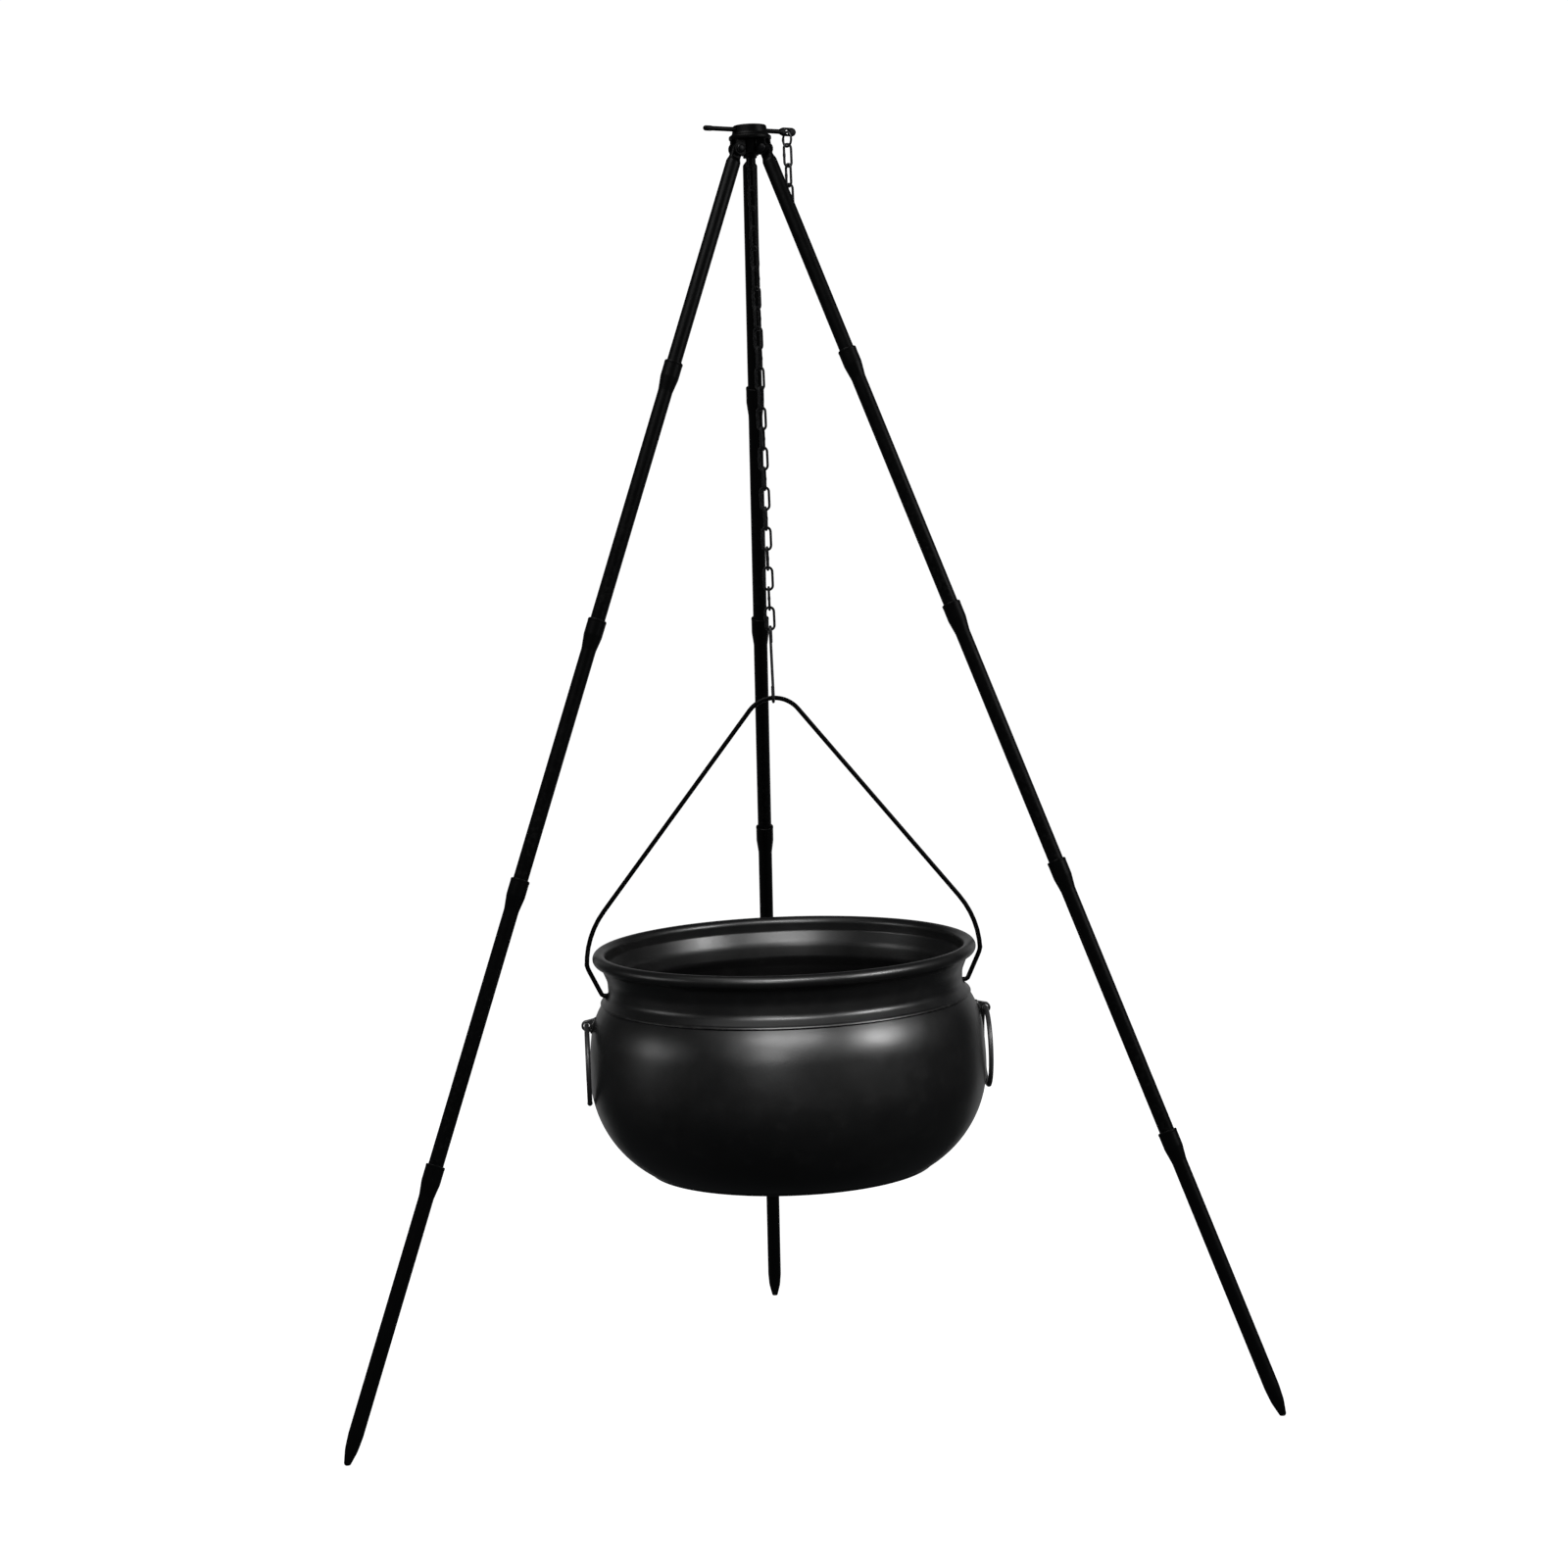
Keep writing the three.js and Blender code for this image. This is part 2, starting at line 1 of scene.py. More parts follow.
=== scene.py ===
"""A campfire tripod with a hanging cauldron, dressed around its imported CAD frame.

Every CAD node is replaced by a smoother, more detailed mesh in the same place.
Units are metres and +Z is up. Places come from the CAD nodes and joints.
"""

import json
import math

import bmesh
import bpy
import numpy as np
from mathutils import Matrix, Vector


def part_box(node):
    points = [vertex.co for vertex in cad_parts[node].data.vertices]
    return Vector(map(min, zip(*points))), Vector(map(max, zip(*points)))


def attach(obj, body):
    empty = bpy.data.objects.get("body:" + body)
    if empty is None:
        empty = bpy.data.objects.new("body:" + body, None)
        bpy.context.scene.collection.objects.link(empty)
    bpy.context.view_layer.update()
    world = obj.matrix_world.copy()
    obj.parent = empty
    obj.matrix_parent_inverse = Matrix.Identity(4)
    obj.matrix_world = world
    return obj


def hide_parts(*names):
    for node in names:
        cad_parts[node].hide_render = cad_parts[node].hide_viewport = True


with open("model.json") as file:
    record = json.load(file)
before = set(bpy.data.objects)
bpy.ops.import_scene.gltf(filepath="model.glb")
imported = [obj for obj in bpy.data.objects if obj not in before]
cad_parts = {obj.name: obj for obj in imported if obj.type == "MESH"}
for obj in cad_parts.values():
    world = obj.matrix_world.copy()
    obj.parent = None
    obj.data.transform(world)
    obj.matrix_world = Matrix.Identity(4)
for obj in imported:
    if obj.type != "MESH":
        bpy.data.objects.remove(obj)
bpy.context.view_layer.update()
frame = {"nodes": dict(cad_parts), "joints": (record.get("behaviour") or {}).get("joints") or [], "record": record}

MM = 0.001
UP = Vector((0, 0, 1))
JOINTS = {j["name"]: j for j in frame["joints"]}
BODY_OF = {
    node: body
    for body, members in frame["record"]["behaviour"]["bodies"].items()
    for node in members
}

# ---- camera --------------------------------------------------------------

CAMERA_AZIMUTH = math.radians(-2.989)
CAMERA_ELEVATION = math.radians(2.076)
CAMERA_ROLL = math.radians(-2.386)
CAMERA_DISTANCE = 3.0649
CAMERA_AIM_HEIGHT = 0.525
CAMERA_LENS = 82.91
CAMERA_SHIFT = (0.0049, -0.0081)


def add_camera(axis_y):
    data = bpy.data.cameras.new("camera")
    data.sensor_width = 36
    data.lens = CAMERA_LENS
    data.shift_x, data.shift_y = CAMERA_SHIFT
    flat = math.cos(CAMERA_ELEVATION)
    back = Vector(
        (
            math.sin(CAMERA_AZIMUTH) * flat,
            -math.cos(CAMERA_AZIMUTH) * flat,
            math.sin(CAMERA_ELEVATION),
        )
    )
    right = Vector((math.cos(CAMERA_AZIMUTH), math.sin(CAMERA_AZIMUTH), 0))
    up = back.cross(right)
    turn_cos, turn_sin = math.cos(CAMERA_ROLL), math.sin(CAMERA_ROLL)
    x_axis = turn_cos * right + turn_sin * up
    y_axis = -turn_sin * right + turn_cos * up
    aim = Vector((0, axis_y, CAMERA_AIM_HEIGHT))
    camera = bpy.data.objects.new("camera", data)
    camera.matrix_world = axes_matrix(x_axis, y_axis, back, aim + CAMERA_DISTANCE * back)
    bpy.context.scene.collection.objects.link(camera)
    bpy.context.scene.camera = camera


def axes_matrix(x_axis, y_axis, z_axis, origin):
    matrix = Matrix((x_axis, y_axis, z_axis)).transposed().to_4x4()
    matrix.translation = origin
    return matrix


HUB_AXIS_Y = JOINTS["chain_swing_at_pin"]["pos_m"][1]
add_camera(HUB_AXIS_Y)

# ---- studio --------------------------------------------------------------

FLOOR_HALF = 12.0
POT_MIDDLE = Vector((0, HUB_AXIS_Y, 0.29))
# Studio lamps: name, direction from the pot, distance, width, height, radiance, and
# whether it lights only the pot and its rings.
LIGHTS = (
    ("key_right", (0.78, -0.59, 0.5), 1.9, 0.55, 0.5, 36.0, True),
    ("fill_front", (-0.2, -0.95, 0.26), 1.9, 0.4, 0.5, 13.0, True),
    ("fill_left", (-0.98, -0.15, 0.2), 1.9, 0.6, 0.5, 6.0, True),
    ("high_front", (-0.05, -0.78, 0.6), 1.9, 1.0, 0.4, 24.0, True),
    ("soft_right", (0.9, -0.4, 0.6), 2.6, 1.2, 1.2, 0.8, False),
    ("soft_top", (-0.3, -0.3, 0.9), 2.4, 1.2, 1.2, 1.2, False),
    ("backdrop_glow", (0.1, 1.0, 0.05), 2.2, 3.4, 2.0, 0.4, False),
)
POT_GROUP = bpy.data.collections.new("pot_lit")


def add_light(name, direction, distance, width, height, radiance, only_pot):
    data = bpy.data.lights.new(name, "AREA")
    data.shape = "RECTANGLE"
    data.size = width
    data.size_y = height
    data.energy = radiance * math.pi * width * height
    light = bpy.data.objects.new(name, data)
    away = Vector(direction).normalized()
    light.location = POT_MIDDLE + distance * away
    light.rotation_euler = away.to_track_quat("Z", "Y").to_euler()
    light.visible_camera = False
    if only_pot:
        light.light_linking.receiver_collection = POT_GROUP
    bpy.context.scene.collection.objects.link(light)


def add_studio():
    for row in LIGHTS:
        add_light(*row)
    world = bpy.data.worlds.new("studio")
    world.use_nodes = True
    bpy.context.scene.world = world
    nodes, links = world.node_tree.nodes, world.node_tree.links
    room = nodes["Background"]
    room.inputs["Color"].default_value = (0.9, 0.95, 1, 1)
    room.inputs["Strength"].default_value = 0.03
    wall = nodes.new("ShaderNodeBackground")
    wall.inputs["Color"].default_value = (1, 1, 1, 1)
    wall.inputs["Strength"].default_value = 1.05
    mix = nodes.new("ShaderNodeMixShader")
    path = nodes.new("ShaderNodeLightPath")
    links.new(path.outputs["Is Camera Ray"], mix.inputs["Fac"])
    links.new(room.outputs["Background"], mix.inputs[1])
    links.new(wall.outputs["Background"], mix.inputs[2])
    links.new(mix.outputs["Shader"], nodes["World Output"].inputs["Surface"])
    bpy.context.scene.view_settings.view_transform = "Standard"


def add_floor():
    h = FLOOR_HALF
    mesh = bpy.data.meshes.new("floor")
    mesh.from_pydata([(-h, -h, 0), (h, -h, 0), (h, h, 0), (-h, h, 0)], [], [(0, 1, 2, 3)])
    floor = bpy.data.objects.new("floor", mesh)
    bpy.context.scene.collection.objects.link(floor)
    material = bpy.data.materials.new("pale_floor")
    material.use_nodes = True
    shader = material.node_tree.nodes["Principled BSDF"]
    shader.inputs["Base Color"].default_value = (0.9, 0.9, 0.9, 1)
    shader.inputs["Roughness"].default_value = 0.9
    shader.inputs["Specular IOR Level"].default_value = 0.0
    shader.inputs["Emission Color"].default_value = (1, 1, 1, 1)
    shader.inputs["Emission Strength"].default_value = 1.02
    mesh.materials.append(material)
    floor.visible_glossy = False
    floor.visible_diffuse = False


add_studio()
add_floor()

# ---- materials -----------------------------------------------------------


class Finish:
    """A Principled material with chained procedural detail in object space."""

    def __init__(self, name):
        self.material = bpy.data.materials.new(name)
        self.material.use_nodes = True
        self.tree = self.material.node_tree
        self.shader = self.tree.nodes["Principled BSDF"]
        self.space = self.tree.nodes.new("ShaderNodeTexCoord").outputs["Object"]
        self.normal = None

    def noise(self, size, detail=3.0, stretch=(1, 1, 1)):
        """Noise whose lumps are about size metres across."""
        place = self.tree.nodes.new("ShaderNodeMapping")
        place.inputs["Scale"].default_value = [s / size for s in stretch]
        self.tree.links.new(self.space, place.inputs["Vector"])
        noise = self.tree.nodes.new("ShaderNodeTexNoise")
        noise.inputs["Scale"].default_value = 1.0
        noise.inputs["Detail"].default_value = detail
        self.tree.links.new(place.outputs["Vector"], noise.inputs["Vector"])
        return noise.outputs["Fac"]

    def cells(self, size):
        """Distance to the nearest of scattered points about size metres apart."""
        cells = self.tree.nodes.new("ShaderNodeTexVoronoi")
        cells.inputs["Scale"].default_value = 1 / size
        self.tree.links.new(self.space, cells.inputs["Vector"])
        return cells.outputs["Distance"]

    def spread(self, value, low, high, to_low=0.0, to_high=1.0):
        node = self.tree.nodes.new("ShaderNodeMapRange")
        node.inputs["From Min"].default_value = low
        node.inputs["From Max"].default_value = high
        node.inputs["To Min"].default_value = to_low
        node.inputs["To Max"].default_value = to_high
        self.tree.links.new(value, node.inputs["Value"])
        return node.outputs["Result"]

    def times(self, a, b):
        node = self.tree.nodes.new("ShaderNodeMath")
        node.operation = "MULTIPLY"
        self.tree.links.new(a, node.inputs[0])
        if isinstance(b, float):
            node.inputs[1].default_value = b
        else:
            self.tree.links.new(b, node.inputs[1])
        return node.outputs["Value"]

    def blend(self, factor, a, b):
        """Colour a turning to colour b; each is a tuple or a socket."""
        node = self.tree.nodes.new("ShaderNodeMix")
        node.data_type = "RGBA"
        self.tree.links.new(factor, node.inputs["Factor"])
        for value, socket in ((a, node.inputs[6]), (b, node.inputs[7])):
            if isinstance(value, tuple):
                socket.default_value = (*value, 1)
            else:
                self.tree.links.new(value, socket)
        return node.outputs[2]

    def attribute(self, name):
        node = self.tree.nodes.new("ShaderNodeAttribute")
        node.attribute_name = name
        return node.outputs["Fac"]

    def bump(self, height, depth, strength=1.0):
        node = self.tree.nodes.new("ShaderNodeBump")
        node.inputs["Distance"].default_value = depth
        node.inputs["Strength"].default_value = strength
        self.tree.links.new(height, node.inputs["Height"])
        if self.normal is not None:
            self.tree.links.new(self.normal, node.inputs["Normal"])
        self.normal = node.outputs["Normal"]

    def set(self, name, value):
        if isinstance(value, (int, float)):
            self.shader.inputs[name].default_value = value
        else:
            self.tree.links.new(value, self.shader.inputs[name])

    def done(self):
        if self.normal is not None:
            self.tree.links.new(self.normal, self.shader.inputs["Normal"])
        return self.material


def painted(name, dark, pale, rough, peel, peel_depth, worn=0.5):
    """Black paint: cloudy tone, orange peel, dust specks, and bare steel on worn edges."""
    finish = Finish(name)
    cloud = finish.noise(0.045, 4.0)
    tone = finish.blend(finish.spread(cloud, 0.35, 0.7), dark, pale)
    specks = finish.spread(finish.cells(0.0042), 0.13, 0.07)
    thin = finish.spread(finish.noise(0.02, 2.0), 0.55, 0.72)
    specks = finish.times(finish.times(specks, thin), 0.22)
    tone = finish.blend(specks, tone, (0.09, 0.088, 0.083))
    scuff = finish.spread(finish.noise(0.0035, 5.0), 0.5, 0.68)
    bare = finish.times(finish.times(finish.attribute("wear"), scuff), worn)
    tone = finish.blend(bare, tone, (0.16, 0.155, 0.15))
    finish.set("Base Color", tone)
    finish.set("Roughness", finish.spread(finish.noise(0.012, 5.0), 0.3, 0.75, *rough))
    finish.set("Metallic", finish.times(bare, 0.8))
    finish.bump(finish.noise(peel, 2.0), peel_depth, 0.6)
    finish.bump(finish.noise(peel * 6, 3.0), peel_depth * 2, 0.35)
    return finish.done()


def plated(name, dark, pale, rough, metallic):
    """Plated wire: blotchy spangle, fine draw marks, dulled by fine random grime flecks."""
    finish = Finish(name)
    blotch = finish.spread(finish.noise(0.006, 5.0), 0.35, 0.68)
    tone = finish.blend(blotch, dark, pale)
    grime = finish.spread(finish.noise(0.0016, 3.0), 0.62, 0.75)
    tone = finish.blend(finish.times(grime, 0.6), tone, (0.035, 0.033, 0.03))
    polished = finish.times(finish.attribute("wear"), 0.5)
    tone = finish.blend(polished, tone, (0.45, 0.45, 0.46))
    finish.set("Base Color", tone)
    finish.set("Metallic", metallic)
    finish.set("Roughness", finish.spread(finish.noise(0.003, 4.0), 0.3, 0.7, *rough))
    finish.bump(finish.noise(0.0006, 4.0), 0.00004, 0.6)
    finish.bump(finish.noise(0.004, 2.0), 0.00012, 0.4)
    return finish.done()


def enamelled(name):
    """Black pot enamel: a satin skin with faint waviness, pinpricks and a dusty film."""
    finish = Finish(name)
    cloud = finish.spread(finish.noise(0.09, 5.0), 0.35, 0.7)
    tone = finish.blend(cloud, (0.0012, 0.0012, 0.0013), (0.0026, 0.0026, 0.0026))
    film = finish.spread(finish.noise(0.018, 6.0), 0.56, 0.8)
    tone = finish.blend(finish.times(film, 0.22), tone, (0.014, 0.014, 0.0136))
    scuff = finish.spread(finish.noise(0.004, 5.0), 0.52, 0.7)
    bare = finish.times(finish.times(finish.attribute("wear"), scuff), 0.3)
    tone = finish.blend(bare, tone, (0.1, 0.098, 0.094))
    finish.set("Base Color", tone)
    finish.set("Roughness", finish.spread(finish.noise(0.02, 6.0), 0.3, 0.75, 0.34, 0.4))
    finish.bump(finish.noise(0.03, 2.0), 0.0004, 0.35)
    finish.bump(finish.noise(0.0022, 2.0), 0.00005, 0.4)
    pits = finish.spread(finish.cells(0.006), 0.05, 0.09)
    finish.bump(pits, 0.00006, 0.35)
    return finish.done()


MATERIALS = {
    "leg_paint": painted(
        "leg_satin_paint", (0.0025, 0.0025, 0.0026), (0.0055, 0.0054, 0.0053), (0.34, 0.5), 0.0011, 0.00003
    ),
    "hub_paint": painted(
        "hub_satin_paint", (0.003, 0.003, 0.0031), (0.007, 0.0069, 0.0068), (0.36, 0.52), 0.0009, 0.00004
    ),
    "wire_paint": painted(
        "wire_satin_coat", (0.003, 0.003, 0.0031), (0.007, 0.0069, 0.0068), (0.3, 0.45), 0.0007, 0.00003
    ),
    "ring_steel": painted(
        "ring_black_coat", (0.01, 0.01, 0.0105), (0.02, 0.02, 0.0205), (0.3, 0.48), 0.0008, 0.00004, 0.7
    ),
    "pot_enamel": enamelled("pot_black_enamel"),
    "chain_steel": plated(
        "chain_dark_zinc", (0.16, 0.16, 0.165), (0.34, 0.34, 0.35), (0.3, 0.5), 0.85
    ),
    "chain_black": plated(
        "chain_black_oxide", (0.012, 0.012, 0.0125), (0.035, 0.034, 0.034), (0.38, 0.55), 0.4
    ),
    "rivet_steel": plated(
        "rivet_dark_steel", (0.04, 0.04, 0.042), (0.09, 0.09, 0.093), (0.3, 0.48), 0.8
    ),
}

# ---- mesh helpers --------------------------------------------------------

TUBE_SEGMENTS = 48
SHARP_ANGLE = math.radians(40)


def rounded(points, steps=5):
    """A profile with its corners rounded. Each point is (radius, height, corner radius)."""
    out = []
    for i, (r, h, bend) in enumerate(points):
        corner = Vector((r, h))
        if bend <= 0 or i in (0, len(points) - 1):
            out.append(corner)
            continue
        back = Vector(points[i - 1][:2]) - corner
        ahead = Vector(points[i + 1][:2]) - corner
        half = back.angle(ahead) / 2
        if half > math.radians(89.5):
            out.append(corner)
            continue
        cut = min(bend / math.tan(half), back.length * 0.49, ahead.length * 0.49)
        bend = cut * math.tan(half)
        back.normalize()
        ahead.normalize()
        centre = corner + (back + ahead).normalized() * (bend / math.sin(half))
        start = corner + back * cut - centre
        end = corner + ahead * cut - centre
        sweep = start.angle(end)
        for k in range(steps + 1):
            t = k / steps
            mixed = start * math.sin((1 - t) * sweep) + end * math.sin(t * sweep)
            out.append(centre + mixed / math.sin(sweep))
    return [tuple(p) for p in out]


def arc(cx, cz, radius, start, end, count):
    angles = [start + (end - start) * i / count for i in range(count + 1)]
    return [(cx + radius * math.cos(a), cz + radius * math.sin(a)) for a in angles]


def bent_path(corners, step=math.radians(6)):
    """Points along straight runs joined by round bends: corners are (point, bend radius)."""
    points = [corners[0][0]]
    for i in range(1, len(corners) - 1):
        corner, radius = corners[i]
        back = (corners[i - 1][0] - corner).normalized()
        ahead = (corners[i + 1][0] - corner).normalized()
        half = back.angle(ahead) / 2
        centre = corner + (back + ahead).normalized() * (radius / math.sin(half))
        start = corner + back * (radius / math.tan(half)) - centre
        turn = math.pi - 2 * half
        axis = ahead.cross(back).normalized()
        steps = max(2, round(turn / step))
        for k in range(steps + 1):
            points.append(centre + Matrix.Rotation(turn * k / steps, 3, axis) @ start)
    points.append(corners[-1][0])
    return points


def even_path(points, gap, closed=False):
    """The same path with points about gap metres apart."""
    pts = np.array([tuple(p) for p in points] + ([tuple(points[0])] if closed else []))
    lengths = np.linalg.norm(np.diff(pts, axis=0), axis=1)
    along = np.concatenate([[0], np.cumsum(lengths)])
    count = max(2, round(along[-1] / gap))
    where = np.linspace(0, along[-1], count + 1)
    if closed:
        where = where[:-1]
    return [Vector([np.interp(s, along, pts[:, k]) for k in range(3)]) for s in where]


def skin(rings, loop=False):
    """Vertices and faces that join rings of points; a ring of one point closes an end."""
    verts, faces, starts = [], [], []
    for ring in rings:
        starts.append(len(verts))
        verts.extend(ring)
    pairs = list(zip(range(len(rings)), range(1, len(rings))))
    if loop:
        pairs.append((len(rings) - 1, 0))
    for a, b in pairs:
        na, nb = len(rings[a]), len(rings[b])
        sa, sb = starts[a], starts[b]
        for i in range(max(na, nb)):
            j = (i + 1) % max(na, nb)
            if na == 1:
                faces.append((sa, sb + j, sb + i))
            elif nb == 1:
                faces.append((sa + i, sa + j, sb))
            else:
                faces.append((sa + i, sa + j, sb + j, sb + i))
    return verts, faces


def turned(profile, segments=TUBE_SEGMENTS, matrix=None, loop=False):
    """A turned shape about +Z. A profile point on the axis closes an end."""
    matrix = matrix or Matrix.Identity(4)
    angles = [2 * math.pi * k / segments for k in range(segments)]
    rings = []
    for r, h in profile:
        if r < 1e-9:
            rings.append([matrix @ Vector((0, 0, h))])
        else:
            rings.append([matrix @ Vector((r * math.cos(a), r * math.sin(a), h)) for a in angles])
    return skin(rings, loop)


def lofted(sections, matrix=None, segments=TUBE_SEGMENTS):
    """Cross-sections along +Z as (height, half x, half y, squareness); zero size closes an end."""
    matrix = matrix or Matrix.Identity(4)
    rings = []
    for h, half_x, half_y, power in sections:
        if half_x < 1e-9:
            rings.append([matrix @ Vector((0, 0, h))])
            continue
        ring = []
        for k in range(segments):
            c, s = math.cos(2 * math.pi * k / segments), math.sin(2 * math.pi * k / segments)
            x = math.copysign(abs(c) ** (2 / power), c) * half_x
            y = math.copysign(abs(s) ** (2 / power), s) * half_y
            ring.append(matrix @ Vector((x, y, h)))
        rings.append(ring)
    return skin(rings)


def swept(path, radius, sides=20, closed=False, welds=(), weld_size=0.0, weld_length=0.0):
    """A round wire along a path, with rounded ends and swollen weld marks."""
    count = len(path)
    tangents = []
    for i in range(count):
        before = path[i - 1] if closed or i else path[0]
        after = path[(i + 1) % count] if closed or i < count - 1 else path[-1]
        tangents.append((after - before).normalized())
    side = tangents[0].orthogonal().normalized()
    sides_along = [side]
    for i in range(1, count):
        turn = tangents[i - 1].rotation_difference(tangents[i])
        side = (turn @ side).normalized()
        sides_along.append(side)
    rings = []

    def ring(centre, tangent, across, r):
        other = tangent.cross(across)
        angles = [2 * math.pi * k / sides for k in range(sides)]
        return [centre + r * (math.cos(a) * across + math.sin(a) * other) for a in angles]

    caps = 5
    if not closed:
        first = path[0]
        rings.append([first - tangents[0] * radius * 0.6])
        for k in range(1, caps):
            a = math.pi / 2 * k / caps
            centre = first - tangents[0] * radius * 0.6 * math.cos(a)
            rings.append(ring(centre, tangents[0], sides_along[0], radius * math.sin(a)))
    for i, centre in enumerate(path):
        r = radius
        for weld in welds:
            away = (centre - weld).length / weld_length if weld_length else 9
            r += weld_size * math.exp(-(away**4))
        rings.append(ring(centre, tangents[i], sides_along[i], r))
    if not closed:
        last = path[-1]
        for k in range(caps - 1, 0, -1):
            a = math.pi / 2 * k / caps
            centre = last + tangents[-1] * radius * 0.6 * math.cos(a)
            rings.append(ring(centre, tangents[-1], sides_along[-1], radius * math.sin(a)))
        rings.append([last + tangents[-1] * radius * 0.6])
    return skin(rings, closed)


def raw_object(name, shape):
    mesh = bpy.data.meshes.new(name)
    verts, faces = shape
    mesh.from_pydata([tuple(v) for v in verts], [], faces)
    bm = bmesh.new()
    bm.from_mesh(mesh)
    bmesh.ops.recalc_face_normals(bm, faces=bm.faces)
    bm.to_mesh(mesh)
    bm.free()
    obj = bpy.data.objects.new(name, mesh)
    bpy.context.scene.collection.objects.link(obj)
    return obj


def combine(obj, cutter, operation="DIFFERENCE"):
    """Cuts or joins by another shape, which is used up."""
    tool = raw_object("tool", cutter)
    modifier = obj.modifiers.new("combine", "BOOLEAN")
    modifier.operation = operation
    modifier.solver = "EXACT"
    modifier.object = tool
    settle(obj)
    bpy.data.objects.remove(tool)


def settle(obj):
    """Applies the object's modifiers."""
    graph = bpy.context.evaluated_depsgraph_get()
    mesh = bpy.data.meshes.new_from_object(obj.evaluated_get(graph), depsgraph=graph)
    obj.modifiers.clear()
    obj.data = mesh


def melt(obj, voxel, passes):
    """Joins the shapes into one skin with small soft fillets."""
    remesh = obj.modifiers.new("melt", "REMESH")
    remesh.mode = "VOXEL"
    remesh.voxel_size = voxel
    smooth = obj.modifiers.new("soften", "SMOOTH")
    smooth.factor = 0.5
    smooth.iterations = passes
    settle(obj)


POT_BODIES = ("pot", "drop_ring_right", "drop_ring_left")  # lit by the pot's own lights
WEAR_LOW = 450.0  # bend of the surface, 1/m, where wear begins
WEAR_HIGH = 1700.0


def store_wear(mesh):
    """A vertex value that is high on tight outward corners."""
    count = len(mesh.vertices)
    places = np.zeros(count * 3)
    mesh.vertices.foreach_get("co", places)
    places = places.reshape(-1, 3)
    normals = np.zeros(count * 3)
    mesh.vertex_normals.foreach_get("vector", normals)
    normals = normals.reshape(-1, 3)
    edges = np.zeros(len(mesh.edges) * 2, np.int64)
    mesh.edges.foreach_get("vertices", edges)
    a, b = edges.reshape(-1, 2).T
    apart = places[a] - places[b]
    squared = np.maximum((apart**2).sum(1), 1e-14)
    bend = np.zeros(count)
    np.maximum.at(bend, a, 2 * (apart * normals[a]).sum(1) / squared)
    np.maximum.at(bend, b, -2 * (apart * normals[b]).sum(1) / squared)
    wear = np.clip((bend - WEAR_LOW) / (WEAR_HIGH - WEAR_LOW), 0, 1)
    attribute = mesh.attributes.new("wear", "FLOAT", "POINT")
    attribute.data.foreach_set("value", wear)


def dress(obj, node, slot, finish=None):
    """Makes the object stand for one CAD node."""
    obj.name = f"{node}_detail"
    obj.data.name = obj.name
    obj.data.shade_smooth()
    obj.data.set_sharp_from_angle(angle=SHARP_ANGLE)
    store_wear(obj.data)
    obj.data.materials.clear()
    obj.data.materials.append(MATERIALS[finish or slot])
    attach(obj, BODY_OF[node])
    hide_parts(node)
    if BODY_OF[node] in POT_BODIES:
        POT_GROUP.objects.link(obj)
    return obj


def piece(node, shape, slot, finish=None):
    return dress(raw_object(node, shape), node, slot, finish)


def node_points(node):
    data = frame["nodes"][node].data
    points = np.zeros(len(data.vertices) * 3)
    data.vertices.foreach_get("co", points)
    return points.reshape(-1, 3)


# ---- legs ----------------------------------------------------------------

TUBE_R = 6.2 * MM
BORE_R = 4.9 * MM
BELL_R = 7.8 * MM
BELL_BORE_R = 6.5 * MM
BELL_LENGTH = 28 * MM
SOCKET_DEPTH = 20 * MM
TONGUE_HALF_THICK = 2.8 * MM
TONGUE_R = 5 * MM
TONGUE_LENGTH = 9.5 * MM
RIVET_HOLE_R = 2.3 * MM
FOOT_TAPER = 22 * MM
FOOT_TIP_R = 3 * MM
WALL_LIP = 0.45 * MM
SIDES = ("left", "right", "rear")


def leg_matrix(side):
    """A leg's own frame: the hinge pin at its origin, +Z up the leg, +Y along the pin."""
    fold = JOINTS[f"leg_{side}_fold"]
    z_axis = -Vector(JOINTS[f"leg_{side}_socket_1"]["axis"]).normalized()
    y_axis = Vector(fold["axis"]).normalized()
    x_axis = y_axis.cross(z_axis).normalized()
    return axes_matrix(x_axis, y_axis, z_axis, Vector(fold["pos_m"]))


def heights(node, matrix):
    """Lowest and highest point of a node in a frame."""
    inverse = np.array(matrix.inverted())
    points = node_points(node) @ inverse[:3, :3].T + inverse[:3, 3]
    return points[:, 2].min(), points[:, 2].max()


def socket(mouth):
    """A swaged socket from below its taper, up to its rolled mouth and down its bore."""
    return [
        (TUBE_R, mouth - BELL_LENGTH * 1.15, 30 * MM),
        (TUBE_R, mouth - BELL_LENGTH * 0.93, 14 * MM),
        (BELL_R, mouth - BELL_LENGTH * 0.5, 14 * MM),
        (BELL_R, mouth - 2.6 * MM, 2 * MM),
        (BELL_R + 0.15 * MM, mouth - 1.6 * MM, 1 * MM),
        (BELL_R + 0.1 * MM, mouth, 0.7 * MM),
        (BELL_BORE_R, mouth, 0.5 * MM),
        (BELL_BORE_R, mouth - SOCKET_DEPTH, 2 * MM),
        (BORE_R, mouth - SOCKET_DEPTH - 2 * MM, 2 * MM),
    ]


def plain_end(end):
    """The cut end of a tube, from its bore round to its outside."""
    return [(BORE_R, end, WALL_LIP), (TUBE_R, end, WALL_LIP)]


def flat(points):
    return [(r, h, 0) for r, h in points]


